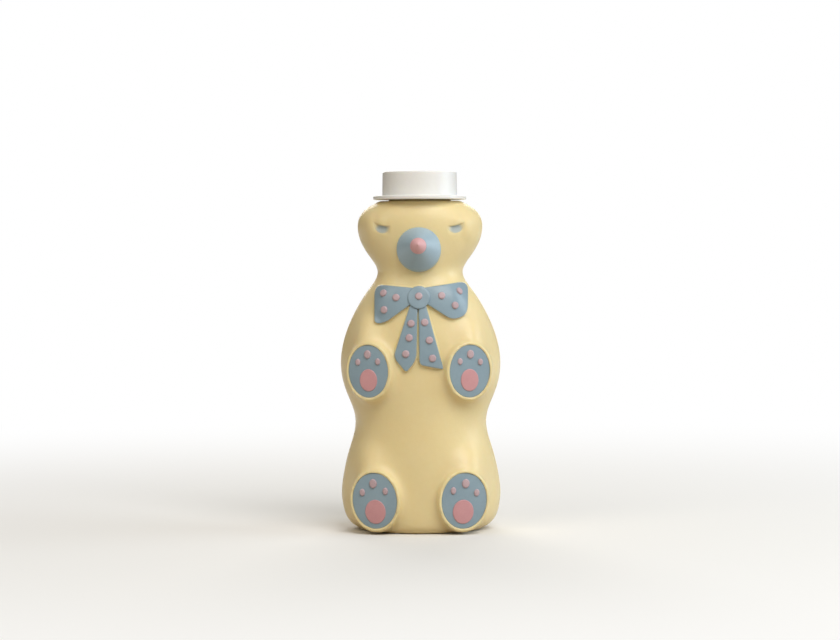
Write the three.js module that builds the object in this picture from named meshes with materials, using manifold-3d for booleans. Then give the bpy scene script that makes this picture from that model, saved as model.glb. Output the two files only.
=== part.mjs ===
// A baby powder bottle in the form of a sitting bear: a blow-moulded shell with coloured inlays in its face,
// a sifter plug in its neck, and a hat that is the screw cap, with a seal disc inside it.
// Millimetres, +Z up. The bear faces -Y, and left and right are as its viewer sees them.
// The origin is on the neck's axis, on the surface that the bottle stands on.
import * as THREE from "three";
import { mergeVertices } from "three/addons/utils/BufferGeometryUtils.js";
import Module from "manifold-3d";

const wasm = await Module();
wasm.setup();

// Neck and closure
const NECK_BORE = 13.5;
const NECK_WALL = 2.5;
const NECK_RADIUS = NECK_BORE + NECK_WALL;
const NECK_HEIGHT = 11.4;
const NECK_ROOT_FILLET = 0.8;
const SEAT_GAP = 0.1; // between the flat faces that seal on each other
const SIFTER_FLANGE = 1.1;
const SIFTER_FLANGE_INSET = 0.6; // from the neck's outside to the flange's edge
const SIFTER_WALL = 1.3;
const SIFTER_RECESS = 3.4; // deck below the flange's top
const SIFTER_DECK = 1.2;
const SIFTER_SKIRT = 2.2; // plug wall below the deck
const SIFTER_HOLE = 1.1; // radius
const SIFTER_RINGS = [
  { count: 1, radius: 0 },
  { count: 6, radius: 4.2 },
  { count: 10, radius: 8.4 },
];
const SEAL_THICKNESS = 1;
const THREAD_ROOM = 2.1; // between the neck and the cap
const CAP_TOP_WALL = 1.6;
const CAP_WALL = 1.8;
const CAP_DRAFT = 0.25; // the crown is that much narrower at its top
const CAP_EDGE = 0.5;
const BRIM_WIDTH = 4.8; // beyond the crown
const BRIM_THICKNESS = 2;
const BRIM_CLEARANCE = 0.6; // above the foot of the neck
const HAT_SEGMENTS = 36;
const PLUG_SEGMENTS = 28;
const HOLE_SEGMENTS = 8;

// Shell: the sculpted sections, from the base to the foot of the neck
const STATIONS = [
  { z: 0, halfWidth: 31.3, halfDepth: 25, setBack: 0.6 }, // base edge
  { z: 3.5, halfWidth: 37.3, halfDepth: 28, setBack: 1 },
  { z: 9, halfWidth: 40.8, halfDepth: 29.4, setBack: 1.6 },
  { z: 18, halfWidth: 42.4, halfDepth: 29.8, setBack: 2.2 }, // hips
  { z: 30, halfWidth: 41.2, halfDepth: 30, setBack: 2.6 },
  { z: 40, halfWidth: 39, halfDepth: 30, setBack: 2.8 },
  { z: 60, halfWidth: 34.9, halfDepth: 28.2, setBack: 2.4 }, // waist
  { z: 74, halfWidth: 39.9, halfDepth: 28.4, setBack: 2.2 },
  { z: 88, halfWidth: 42.6, halfDepth: 28.5, setBack: 2.3 }, // arms
  { z: 104, halfWidth: 39.9, halfDepth: 27.5, setBack: 2.2 },
  { z: 119, halfWidth: 33.1, halfDepth: 24.5, setBack: 1.7 }, // shoulders
  { z: 128, halfWidth: 27.2, halfDepth: 21.4, setBack: 1 },
  { z: 137, halfWidth: 22.3, halfDepth: 19.2, setBack: 0.4 }, // throat
  { z: 146, halfWidth: 27.4, halfDepth: 21.2, setBack: 0.8 },
  { z: 160, halfWidth: 33.1, halfDepth: 23.8, setBack: 1.4 }, // brow
  { z: 168, halfWidth: 31, halfDepth: 22.6, setBack: 1.2 },
  { z: 172, halfWidth: 26.4, halfDepth: 20.6, setBack: 0.6 },
  // ledge round the neck
  { z: 174.6, halfWidth: NECK_RADIUS + 5.4, halfDepth: NECK_RADIUS + 2.6, setBack: 0 },
];
const WALL = 1.2;
const PUSH_UP = 2.4; // hollow under the base
const PUSH_UP_SHARE = 0.68; // of the base outline
const STANDING_RING_SHARE = 0.78; // inner edge of the ring that it stands on
const SHELL_SEGMENTS = 42;
const SHELL_RINGS = 35;
const CAVITY_SEGMENTS = 32;
const CAVITY_RINGS = 18;
const FRONT_CROWDING = 0.35; // the front, with its relief, has closer segments than the back

// Limbs: the oval end face of each hand and foot, and the rounded limb behind it
const RIM = 1.8; // moulded lip round each sole
const LIMB_FILLET = 2.6;
const LIMB_SEGMENTS = 24;
const HOLLOW_SEGMENTS = 10;
const PAD_SEGMENTS = 8;
const PALM_SEGMENTS = 14;
const HAND = {
  x: 26.8, z: 85.5, soleWidth: 10.9, soleHeight: 13.75, reach: 26.2, splay: 0.035,
  turn: 0.3, // outwards, from straight ahead
  depth: 15, flare: 3, // how deep the end goes, and how much wider it is there
  root: { x: 28.4, z: 93, innerWidth: 20, outerWidth: 20, halfHeight: 30, reach: 24.4 },
  palm: { x: 0, z: -4.7, halfWidth: 4.8, halfHeight: 5.8 },
  toes: [
    { x: -5.5, z: 4.9, halfWidth: 1.35, halfHeight: 1.75 },
    { x: 0, z: 8.8, halfWidth: 1.9, halfHeight: 2.25 },
    { x: 5.5, z: 4.9, halfWidth: 1.35, halfHeight: 1.75 },
  ],
};
const FOOT = {
  x: 23.6, z: 18, soleWidth: 12.1, soleHeight: 14.6, reach: 28.5, splay: 0.09,
  turn: 0.26,
  depth: 14, flare: 1,
  root: { x: 24.5, z: 28, innerWidth: 24, outerWidth: 22, halfHeight: 28, reach: 26.4 },
  palm: { x: -0.1, z: -5.8, halfWidth: 5.6, halfHeight: 6.3 },
  toes: [
    { x: -6.3, z: 4.8, halfWidth: 1.45, halfHeight: 1.9 },
    { x: 0, z: 9, halfWidth: 2.05, halfHeight: 2.4 },
    { x: 6.3, z: 4.6, halfWidth: 1.45, halfHeight: 1.9 },
  ],
};
const SOLE_THICKNESS = 1.4;
const SOLE_RECESS = 0.9; // sole below the lip
const PAD_PROUD = 0.9; // toes and dots above what they sit in
const PALM_PROUD = 0.5;
const SOCKET_DEPTH = 0.8; // that the pads and dots sit in
const PAD_EDGE = 0.4;

// Head relief and face
const EAR = { x: 26.8, z: 160, innerWidth: 8, outerWidth: 9, halfHeight: 13, reach: 15 };
const LID = { x: 19.4, z: 163.8, innerWidth: 7, outerWidth: 7, halfHeight: 5.5, reach: 15.5 };
const SNOUT = { x: 0, z: 149, innerWidth: 24, outerWidth: 24, halfHeight: 20, reach: 19.5 };
// chest under the bow
const BOW_MOUND = { x: 13, z: 121, innerWidth: 21, outerWidth: 21, halfHeight: 20, reach: 20 };
const MUZZLE_RADIUS = 11.6;
const MUZZLE_SEAT = 0.5; // depth of the seat for it in the face
const MUZZLE_TIP = 34.4; // forward of the neck's axis
const MUZZLE_Z = 149.2;
const MUZZLE_LIFT = 0.18; // rise of the cone's axis along its length
const MUZZLE_BULGE = 0.3; // the cone's side swells by this
const NOSE_RADIUS = 4.3;
const NOSE_LENGTH = 3.8;
const NOSE_PEG_RADIUS = 1.8;
const NOSE_PEG_LENGTH = 2.6;
const CONE_SEGMENTS = 28;
const NOSE_SEGMENTS = 14;
const EYE = { x: 19.4, z: 161.9, halfWidth: 3.9, lidRise: 0.95, lidSag: 1.4, droop: 5.6 };
const EYE_POCKET = 0.8;
const EYE_THICKNESS = 0.4;

// Bow: outlines from the knot's centre, each corner with its own rounding
const BOW_Z = 123.9;
const BOW_RELIEF = 0.5; // raised bed under the ribbons
const BOW_BORDER = 0.5; // of that bed, round the ribbons
const RIBBON = 1.2; // thickness
const KNOT_RADIUS = 5.9;
const KNOT_RISE = 0.9; // knot above the ribbons
const KNOT_SEGMENTS = 24;
const LEFT_LOOP = [
  { x: -2.5, z: 4.9, round: 0.6 },
  { x: -23.6, z: 6.9, round: 5.5 },
  { x: -23.4, z: -14, round: 3.2 },
  { x: -17.2, z: -12.8, round: 2.6 },
  { x: -2.5, z: -2.2, round: 0.6 },
];
const RIGHT_LOOP = [
  { x: 2.5, z: -2.2, round: 0.6 },
  { x: 17.4, z: -11.9, round: 3.6 },
  { x: 25.4, z: -9.4, round: 4.6 },
  { x: 25.6, z: 8.4, round: 5.5 },
  { x: 2.5, z: 5, round: 0.6 },
];
const LEFT_TAIL = [
  { x: -4.4, z: -3.5, round: 0.4 },
  { x: -13.3, z: -31, round: 3 },
  { x: -6.7, z: -39, round: 1.6 },
  { x: -1.3, z: -32.5, round: 4 },
  { x: -0.6, z: -3.5, round: 0.4 },
];
const RIGHT_TAIL = [
  { x: -0.1, z: -3.5, round: 0.4 },
  { x: 0.3, z: -35, round: 2.2 },
  { x: 12.9, z: -37.5, round: 1.2 },
  { x: 3.6, z: -3.5, round: 0.4 },
];
const DOT_RADIUS = 1.95;
const LEFT_LOOP_DOTS = [{ x: -18.6, z: 2.3 }, { x: -11.9, z: 0 }, { x: -18.2, z: -6.4 }];
const RIGHT_LOOP_DOTS = [{ x: 11.9, z: 0.9 }, { x: 21.1, z: 3.1 }, { x: 18.9, z: -4.2 }];
const LEFT_TAIL_DOTS = [{ x: -4, z: -13.5 }, { x: -5, z: -20.9 }, { x: -6.8, z: -29.3 }];
const RIGHT_TAIL_DOTS = [{ x: 3.1, z: -12.9 }, { x: 5.5, z: -22.2 }, { x: 7.1, z: -31.6 }];
const KNOT_DOTS = [{ x: 0, z: 0.7 }];

const FIT = 0.3; // round and under every inlay
const SKIN_STEP = 5; // mesh size of the pieces that follow the shell's curve
const BLEND = 6; // width over which one swelling of the relief runs into the next
const FULLNESS = 2.5; // power of a swelling's fall from its crest
const SIDE_FALL = 10; // power by which the swellings die away towards the sides

const BUTTER = new THREE.MeshStandardMaterial({ color: 0xf0dfa0, roughness: 0.42, metalness: 0 });
const BLUE = new THREE.MeshStandardMaterial({ color: 0x8dabc0, roughness: 0.5, metalness: 0 });
const PINK = new THREE.MeshStandardMaterial({ color: 0xd9959b, roughness: 0.5, metalness: 0 });
const WHITE = new THREE.MeshStandardMaterial({ color: 0xf0efeb, roughness: 0.35, metalness: 0 });
const PULP = new THREE.MeshStandardMaterial({ color: 0xe4dfd2, roughness: 0.85, metalness: 0 });

const NECK_FOOT = STATIONS.at(-1).z;
const NECK_TOP = NECK_FOOT + NECK_HEIGHT;
const SIFTER_TOP = NECK_TOP + SEAT_GAP + SIFTER_FLANGE;
const SEAL_BOTTOM = SIFTER_TOP + SEAT_GAP;
const CAP_INSIDE = SEAL_BOTTOM + SEAL_THICKNESS + SEAT_GAP;
const CAP_TOP = CAP_INSIDE + CAP_TOP_WALL;
const CAP_BOTTOM = NECK_FOOT + BRIM_CLEARANCE;
const CAP_BORE = NECK_RADIUS + THREAD_ROOM;

// Solids and meshes

function solidOf(geometry) {
  const bare = new THREE.BufferGeometry();
  bare.setAttribute("position", geometry.getAttribute("position").clone());
  if (geometry.index) bare.setIndex(geometry.index.clone());
  const merged = mergeVertices(bare, 1e-4);
  return new wasm.Manifold(
    new wasm.Mesh({
      numProp: 3,
      vertProperties: new Float32Array(merged.attributes.position.array),
      triVerts: new Uint32Array(merged.index.array),
    }),
  );
}

function geometryOf(solid) {
  const mesh = solid.getMesh();
  const geometry = new THREE.BufferGeometry();
  geometry.setAttribute("position", new THREE.BufferAttribute(mesh.vertProperties, 3));
  geometry.setIndex(new THREE.BufferAttribute(mesh.triVerts, 1));
  geometry.computeVertexNormals();
  return geometry;
}

function meshOf(name, solid, material) {
  const mesh = new THREE.Mesh(geometryOf(solid), material);
  mesh.name = name;
  return mesh;
}

// A turned solid about +Z from [radius, height] pairs that start and end on the axis, outer side going up
function turned(profile, segments) {
  const points = profile.map(([radius, height]) => new THREE.Vector2(radius, height));
  return solidOf(new THREE.LatheGeometry(points, segments).rotateX(Math.PI / 2));
}

function cylinder(radius, bottom, top, segments) {
  return turned([[0, bottom], [radius, bottom], [radius, top], [0, top]], segments);
}

// A prism of an outline in X and Y, standing along +Z
function prism(outline, height) {
  const shape = new THREE.Shape(outline);
  return solidOf(new THREE.ExtrudeGeometry(shape, { depth: height, bevelEnabled: false }));
}

// The same prism with the outline upright in X and Z, running from the neck's axis out to the front
function frontPrism(outline) {
  const shape = new THREE.Shape(outline);
  const geometry = new THREE.ExtrudeGeometry(shape, { depth: 2 * MUZZLE_TIP, bevelEnabled: false });
  return solidOf(geometry.rotateX(Math.PI / 2));
}

function oval(halfWidth, halfHeight, segments) {
  return new THREE.EllipseCurve(0, 0, halfWidth, halfHeight).getPoints(segments).slice(0, -1);
}

function roundOutline(radius, centreZ, segments) {
  return oval(radius, radius, segments).map((p) => p.add(new THREE.Vector2(0, centreZ)));
}

// Corner points joined by straight edges, each corner rounded by a curve that starts at its rounding
function roundedOutline(corners, originZ) {
  const path = new THREE.Path();
  corners.forEach((corner, i) => {
    const here = new THREE.Vector2(corner.x, corner.z + originZ);
    const [before, after] = [corners.at(i - 1), corners[(i + 1) % corners.length]].map((next) => {
      const away = new THREE.Vector2(next.x, next.z + originZ).sub(here);
      return here.clone().addScaledVector(away, corner.round / away.length());
    });
    if (i === 0) path.moveTo(before.x, before.y);
    else path.lineTo(before.x, before.y);
    path.quadraticCurveTo(here.x, here.y, after.x, after.y);
  });
  return path.getPoints(4);
}

// An outline with every edge moved out by the same distance, and sharp corners kept from running away
function grown(outline, by) {
  return outline.map((point, i) => {
    const coming = point.clone().sub(outline.at(i - 1)).normalize();
    const going = outline[(i + 1) % outline.length].clone().sub(point).normalize();
    const share = by / Math.max(1 + coming.dot(going), 0.5);
    return new THREE.Vector2(
      point.x + (coming.y + going.y) * share,
      point.y - (coming.x + going.x) * share,
    );
  });
}

// A closed surface through rings of equal count, from a lowest to a highest point on the axis
function loft(rings, bottom, top) {
  const count = rings[0].length;
  const points = [...rings.flat(), bottom, top];
  const [bottomIndex, topIndex] = [points.length - 2, points.length - 1];
  const faces = [];
  for (let i = 0; i < count; i++) {
    const j = (i + 1) % count;
    faces.push(bottomIndex, j, i);
    for (let k = 0; k < rings.length - 1; k++) {
      const [low, high] = [k * count, (k + 1) * count];
      faces.push(low + i, low + j, high + j, low + i, high + j, high + i);
    }
    const last = (rings.length - 1) * count;
    faces.push(last + i, last + j, topIndex);
  }
  return solidOf(new THREE.BufferGeometry().setFromPoints(points).setIndex(faces));
}

// The bear's form

// A natural cubic spline through the stations' values of one field
function splineThrough(field) {
  const heights = STATIONS.map((station) => station.z);
  const values = STATIONS.map((station) => station[field]);
  const last = heights.length - 1;
  const bend = new Array(last + 1).fill(0);
  const carry = new Array(last + 1).fill(0);
  for (let i = 1; i < last; i++) {
    const [below, above] = [heights[i] - heights[i - 1], heights[i + 1] - heights[i]];
    const share = below / (below + above);
    const pivot = share * bend[i - 1] + 2;
    const turn = (values[i + 1] - values[i]) / above - (values[i] - values[i - 1]) / below;
    bend[i] = (share - 1) / pivot;
    carry[i] = ((6 * turn) / (below + above) - share * carry[i - 1]) / pivot;
  }
  for (let i = last - 1; i > 0; i--) bend[i] = bend[i] * bend[i + 1] + carry[i];
  return (z) => {
    const height = Math.min(Math.max(z, heights[0]), heights[last]);
    const i = Math.max(1, heights.findIndex((station) => station >= height));
    const span = heights[i] - heights[i - 1];
    const [a, b] = [(heights[i] - height) / span, (height - heights[i - 1]) / span];
    const curve = ((a ** 3 - a) * bend[i - 1] + (b ** 3 - b) * bend[i]) * (span ** 2 / 6);
    return a * values[i - 1] + b * values[i] + curve;
  };
}

const halfWidthAt = splineThrough("halfWidth");
const halfDepthAt = splineThrough("halfDepth");
const setBackAt = splineThrough("setBack");

// The oval section at a height, or that of a surface lying inside the shell by an inset
function section(z, inset) {
  const near = [z - inset, z, z + inset];
  return {
    halfWidth: Math.min(...near.map(halfWidthAt)) - inset,
    halfDepth: Math.min(...near.map(halfDepthAt)) - inset,
    setBack: setBackAt(z),
  };
}

function smoothMax(a, b) {
  const overlap = Math.max(BLEND - Math.abs(a - b), 0);
  return Math.max(a, b) + overlap ** 2 / (4 * BLEND);
}

// How far forward a rounded swelling reaches at a place on the front
function swelling({ x, z, innerWidth, outerWidth, halfHeight, reach }, across, height, inset) {
  const halfWidth = across < x ? innerWidth : outerWidth;
  const share = Math.hypot((across - x) / (halfWidth - inset), (height - z) / (halfHeight - inset));
  return (1 - share ** FULLNESS) * (reach - inset);
}

// Forward distance of the front at a place: the section, with the limbs, ears and snout swelling out of it
function front(x, z, inset = 0, sink = 0) {
  const { halfWidth, halfDepth, setBack } = section(z, inset);
  const across = Math.abs(x);
  const outward = Math.min(1, across / halfWidth);
  const trunk = halfDepth * Math.sqrt(1 - outward ** 2) - setBack;
  const limbs = [HAND, FOOT].map((limb) => swelling(limb.root, across, z, inset + sink));
  const lumps = [EAR, LID, SNOUT, BOW_MOUND].map((lump) => swelling(lump, across, z, inset));
  const fall = outward ** SIDE_FALL;
  const fallen = [...limbs, ...lumps].map((reach) => reach - fall * (reach + 2 * BLEND));
  return fallen.reduce(smoothMax, trunk);
}

// One ring of the loft, front centre first and anticlockwise from above
function bearRing(z, segments, inset, sink) {
  const { halfWidth, halfDepth, setBack } = section(z, inset);
  return Array.from({ length: segments }, (_, i) => {
    const even = (2 * Math.PI * i) / segments;
    const angle = even - FRONT_CROWDING * Math.sin(even);
    const x = halfWidth * Math.sin(angle);
    const facing = Math.cos(angle);
    const y = facing > 0 ? -front(x, z, inset, sink) : setBack - halfDepth * facing;
    return new THREE.Vector3(x, y, z);
  });
}

function neckRing(z, radius, segments) {
  return Array.from({ length: segments }, (_, i) => {
    const even = (2 * Math.PI * i) / segments;
    const angle = even - FRONT_CROWDING * Math.sin(even);
    return new THREE.Vector3(radius * Math.sin(angle), -radius * Math.cos(angle), z);
  });
}

function scaledRing(ring, share, z) {
  return ring.map((point) => new THREE.Vector3(point.x * share, point.y * share, z));
}

function bearHeights(low, high, rings) {
  return Array.from({ length: rings + 1 }, (_, i) => low + ((high - low) * i) / rings);
}

const axisPoint = (z) => new THREE.Vector3(0, 0, z);

// A slab that follows the front between two distances from it, over an outline's window in X and Z.
// Its mesh lies on one common grid, so slabs at different distances stay parallel.
function frontSlab(outline, low, high) {
  const box = new THREE.Box2().setFromPoints(outline).expandByScalar(1);
  const first = box.min.divideScalar(SKIN_STEP).floor();
  const [columns, rows] = box.max.divideScalar(SKIN_STEP).ceil().sub(first).toArray();
  const points = [];
  for (const lift of [low, high])
    for (let row = 0; row <= rows; row++)
      for (let column = 0; column <= columns; column++) {
        const x = (first.x + column) * SKIN_STEP;
        const z = (first.y + row) * SKIN_STEP;
        points.push(new THREE.Vector3(x, -(front(x, z) + lift), z));
      }
  const index = (side, row, column) => (side * (rows + 1) + row) * (columns + 1) + column;
  const faces = [];
  const quad = (a, b, c, d) => faces.push(a, b, c, a, c, d);
  for (let row = 0; row < rows; row++)
    for (let column = 0; column < columns; column++)
      for (const side of [0, 1]) {
        const around = side ? [[0, 0], [0, 1], [1, 1], [1, 0]] : [[0, 0], [1, 0], [1, 1], [0, 1]];
        quad(...around.map(([r, c]) => index(side, row + r, column + c)));
      }
  for (let row = 0; row < rows; row++)
    for (const [column, turn] of [[0, false], [columns, true]]) {
      const wall = [[0, 0], [1, 0], [1, 1], [0, 1]].map(([side, up]) => index(side, row + up, column));
      quad(...(turn ? wall.reverse() : wall));
    }
  for (let column = 0; column < columns; column++)
    for (const [row, turn] of [[0, true], [rows, false]]) {
      const wall = [[0, 0], [1, 0], [1, 1], [0, 1]].map(([side, on]) => index(side, row, column + on));
      quad(...(turn ? wall.reverse() : wall));
    }
  return solidOf(new THREE.BufferGeometry().setFromPoints(points).setIndex(faces));
}

// A piece of that slab with an upright outline
function frontPiece(outline, low, high) {
  return frontPrism(outline).intersect(frontSlab(outline, low, high));
}

// The place of a round part on the front, its +Z along the surface normal
function seatOnFront(x, z, lift) {
  const step = 0.2;
  const normal = new THREE.Vector3(
    (front(x - step, z) - front(x + step, z)) / (2 * step),
    -1,
    (front(x, z - step) - front(x, z + step)) / (2 * step),
  ).normalize();
  const turn = new THREE.Quaternion().setFromUnitVectors(new THREE.Vector3(0, 0, 1), normal);
  const place = new THREE.Vector3(x, -(front(x, z) + lift), z);
  return new THREE.Matrix4().compose(place, turn, new THREE.Vector3(1, 1, 1));
}

// A limb's end face as a frame: X across, Y up its sole, +Z out of it, origin on the lip's plane
function limbFrame(limb, side) {
  const frame = new THREE.Group();
  frame.position.set(side * limb.x, -limb.reach, limb.z);
  frame.rotation.set(Math.PI / 2, side * limb.turn, -side * limb.splay);
  frame.updateMatrix();
  return frame;
}

// The end of a limb: an oval boss with a rounded edge, or the hollow that lies inside it by an inset
function limbEnd(limb, side, inset, sink, segments) {
  const [width, height] = [limb.soleWidth + RIM - inset, limb.soleHeight + RIM - inset];
  const face = -sink - inset;
  const ring = (grow, level) =>
    oval(width + grow, height + grow, segments).map((p) => new THREE.Vector3(p.x, p.y, level));
  const fillet = [0, 0.5, 1].map((share) => {
    const angle = (share * Math.PI) / 2;
    return ring(LIMB_FILLET * (Math.cos(angle) - 1), face + LIMB_FILLET * (Math.sin(angle) - 1));
  });
  const boss = loft([ring(limb.flare, -limb.depth), ...fillet], axisPoint(-limb.depth), axisPoint(face));
  return boss.transform(limbFrame(limb, side).matrix.elements);
}

// Pieces

const bottle = new THREE.Group();
const limbs = [
  { name: "left_hand", limb: HAND, side: -1 },
  { name: "right_hand", limb: HAND, side: 1 },
  { name: "left_foot", limb: FOOT, side: -1 },
  { name: "right_foot", limb: FOOT, side: 1 },
];
const solePocketDepth = SOLE_RECESS + SOLE_THICKNESS + FIT;

const loops = {
  left_bow_loop: { outline: roundedOutline(LEFT_LOOP, BOW_Z), dots: LEFT_LOOP_DOTS },
  right_bow_loop: { outline: roundedOutline(RIGHT_LOOP, BOW_Z), dots: RIGHT_LOOP_DOTS },
  left_bow_tail: { outline: roundedOutline(LEFT_TAIL, BOW_Z), dots: LEFT_TAIL_DOTS },
  right_bow_tail: { outline: roundedOutline(RIGHT_TAIL, BOW_Z), dots: RIGHT_TAIL_DOTS },
};
const knotOutline = roundOutline(KNOT_RADIUS, BOW_Z, KNOT_SEGMENTS);
const muzzleOutline = roundOutline(MUZZLE_RADIUS, MUZZLE_Z, CONE_SEGMENTS);
const ribbonBottom = BOW_RELIEF + FIT;
const ribbonTop = ribbonBottom + RIBBON;
const knotTop = ribbonTop + KNOT_RISE;

// The right eye's outline: a lid line that sags and rises outwards, and the drooping curve under it
function eyeOutline(side) {
  const { x, z, halfWidth, lidRise, lidSag, droop } = EYE;
  const path = new THREE.Path();
  path.moveTo(x - halfWidth, z - lidRise);
  path.bezierCurveTo(x - halfWidth, z - droop, x + halfWidth, z - droop, x + halfWidth, z + lidRise);
  path.quadraticCurveTo(x, z - lidSag, x - halfWidth, z - lidRise);
  const outline = path.getPoints(8).slice(0, -1);
  return side > 0 ? outline : outline.map((p) => new THREE.Vector2(-p.x, p.y)).reverse();
}

function shellSolid() {
  const rings = bearHeights(0, NECK_FOOT, SHELL_RINGS).map((z) => bearRing(z, SHELL_SEGMENTS, 0, 0));
  const outside = loft(
    [
      scaledRing(rings[0], PUSH_UP_SHARE, PUSH_UP),
      scaledRing(rings[0], STANDING_RING_SHARE, 0),
      ...rings,
      neckRing(NECK_FOOT + NECK_ROOT_FILLET / 2, NECK_RADIUS + NECK_ROOT_FILLET, SHELL_SEGMENTS),
      neckRing(NECK_FOOT + NECK_ROOT_FILLET * 2, NECK_RADIUS, SHELL_SEGMENTS),
      neckRing(NECK_TOP, NECK_RADIUS, SHELL_SEGMENTS),
    ],
    axisPoint(PUSH_UP),
    axisPoint(NECK_TOP),
  );
  const inner = bearHeights(WALL, NECK_FOOT - WALL, CAVITY_RINGS)
    .map((z) => bearRing(z, CAVITY_SEGMENTS, WALL, solePocketDepth));
  const cavity = loft(
    [
      scaledRing(inner[0], STANDING_RING_SHARE, PUSH_UP + WALL),
      ...inner.slice(1),
      neckRing(NECK_FOOT, NECK_BORE, CAVITY_SEGMENTS),
      neckRing(NECK_TOP + 1, NECK_BORE, CAVITY_SEGMENTS),
    ],
    axisPoint(PUSH_UP + WALL),
    axisPoint(NECK_TOP + 1),
  );
  const ends = limbs.map(({ limb, side }) => limbEnd(limb, side, 0, 0, LIMB_SEGMENTS));
  const hollows = limbs.map(({ limb, side }) => limbEnd(limb, side, WALL, solePocketDepth, HOLLOW_SEGMENTS));
  let shell = wasm.Manifold.union([outside, ...ends]).subtract(wasm.Manifold.union([cavity, ...hollows]));
  const outlines = [...Object.values(loops).map(({ outline }) => outline), knotOutline];
  const bowArea = outlines.flat();
  const [bed, room] = [BOW_BORDER, BOW_BORDER + FIT].map((by) =>
    wasm.Manifold.union(outlines.map((outline) => frontPrism(grown(outline, by)))),
  );
  shell = shell.subtract(room.intersect(frontSlab(bowArea, FIT, BLEND)));
  shell = shell.add(bed.intersect(frontSlab(bowArea, -WALL, BOW_RELIEF)));
  shell = shell.subtract(frontPiece(grown(muzzleOutline, FIT), -MUZZLE_SEAT, BLEND));
  for (const side of [-1, 1]) {
    shell = shell.subtract(frontPiece(grown(eyeOutline(side), FIT), -EYE_POCKET, WALL));
  }
  for (const { limb, side } of limbs) {
    const outline = oval(limb.soleWidth + FIT, limb.soleHeight + FIT, LIMB_SEGMENTS);
    const pocket = prism(outline, solePocketDepth + LIMB_FILLET);
    const matrix = new THREE.Matrix4().makeTranslation(0, 0, -solePocketDepth);
    matrix.premultiply(limbFrame(limb, side).matrix);
    shell = shell.subtract(pocket.transform(matrix.elements));
  }
  return shell;
}
bottle.add(meshOf("bottle_shell", shellSolid(), BUTTER));

// Hands and feet: a sole with a socket for each pad, and the pads
function padSolid({ halfWidth, halfHeight, segments, proud }) {
  const height = SOCKET_DEPTH - FIT + proud;
  const rim = 1 - PAD_EDGE / halfWidth;
  const profile = [[0, 0], [1, 0], [1, height - PAD_EDGE], [rim, height], [0, height]];
  return turned(profile, segments).scale([halfWidth, halfHeight, 1]);
}

for (const { name, limb, side } of limbs) {
  const frame = limbFrame(limb, side);
  const pads = [
    { ...limb.palm, name: "palm", segments: PALM_SEGMENTS, proud: PALM_PROUD },
    ...limb.toes.map((toe, i) => (
      { ...toe, name: `toe_${i + 1}`, segments: PAD_SEGMENTS, proud: PAD_PROUD }
    )),
  ];
  let sole = prism(oval(limb.soleWidth, limb.soleHeight, LIMB_SEGMENTS), SOLE_THICKNESS);
  for (const pad of pads) {
    const socket = prism(oval(pad.halfWidth + FIT, pad.halfHeight + FIT, pad.segments), SOCKET_DEPTH + 1);
    sole = sole.subtract(socket.translate([pad.x, pad.z, SOLE_THICKNESS - SOCKET_DEPTH]));
    const mesh = meshOf(`${name}_${pad.name}`, padSolid(pad), PINK);
    mesh.position.set(pad.x, pad.z, -SOLE_RECESS - SOCKET_DEPTH + FIT);
    frame.add(mesh);
  }
  const mesh = meshOf(`${name}_sole`, sole, BLUE);
  mesh.position.z = -SOLE_RECESS - SOLE_THICKNESS;
  frame.add(mesh);
  bottle.add(frame);
}

// Bow: two loops and two tails of ribbon, the knot that laps over them, and the dots set in them
function dotSolid() {
  const height = SOCKET_DEPTH - FIT + PAD_PROUD;
  const rim = [DOT_RADIUS - PAD_EDGE, height];
  return turned([[0, 0], [DOT_RADIUS, 0], [DOT_RADIUS, height - PAD_EDGE], rim, [0, height]], PAD_SEGMENTS);
}

function addRibbon(name, solid, dots, top) {
  let ribbon = solid;
  dots.forEach((dot, i) => {
    const seat = seatOnFront(dot.x, BOW_Z + dot.z, top - SOCKET_DEPTH);
    const socket = cylinder(DOT_RADIUS + FIT, 0, 2 * SOCKET_DEPTH, PAD_SEGMENTS);
    ribbon = ribbon.subtract(socket.transform(seat.elements));
    const mesh = meshOf(`${name}_dot_${i + 1}`, dotSolid(), PINK);
    mesh.applyMatrix4(new THREE.Matrix4().makeTranslation(0, 0, FIT).premultiply(seat));
    bottle.add(mesh);
  });
  bottle.add(meshOf(name, ribbon, BLUE));
}

const knotRoom = frontPrism(grown(knotOutline, FIT));
for (const [name, { outline, dots }] of Object.entries(loops)) {
  addRibbon(name, frontPiece(outline, ribbonBottom, ribbonTop).subtract(knotRoom), dots, ribbonTop);
}
addRibbon("bow_knot", frontPiece(knotOutline, ribbonBottom, knotTop), KNOT_DOTS, knotTop);

// Face: the muzzle cone with the nose set in its end, and the eyes under their lids
const coneFoot = front(0, MUZZLE_Z);
const coneEnd = MUZZLE_TIP - NOSE_LENGTH;
// Lays a solid that was turned on +Z along the bear's sight, its axis rising from the face
const forward = new THREE.Matrix4()
  .set(1, 0, 0, 0, 0, 1, 0, 0, 0, -MUZZLE_LIFT, 1, MUZZLE_Z - MUZZLE_LIFT * coneFoot, 0, 0, 0, 1)
  .multiply(new THREE.Matrix4().makeRotationX(Math.PI / 2));

function muzzleSolid() {
  const cone = turned(
    [
      [0, 0],
      [MUZZLE_RADIUS, 0],
      [MUZZLE_RADIUS, coneFoot - 1],
      [(MUZZLE_RADIUS + NOSE_RADIUS) / 2 + MUZZLE_BULGE, (coneFoot + coneEnd) / 2],
      [NOSE_RADIUS, coneEnd],
      [0, coneEnd],
    ],
    CONE_SEGMENTS,
  );
  const socket = cylinder(NOSE_PEG_RADIUS + FIT, coneEnd - NOSE_PEG_LENGTH, coneEnd + 1, NOSE_SEGMENTS);
  return cone
    .subtract(socket)
    .transform(forward.elements)
    .intersect(frontPiece(muzzleOutline, FIT - MUZZLE_SEAT, MUZZLE_TIP));
}
bottle.add(meshOf("muzzle", muzzleSolid(), BLUE));

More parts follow.
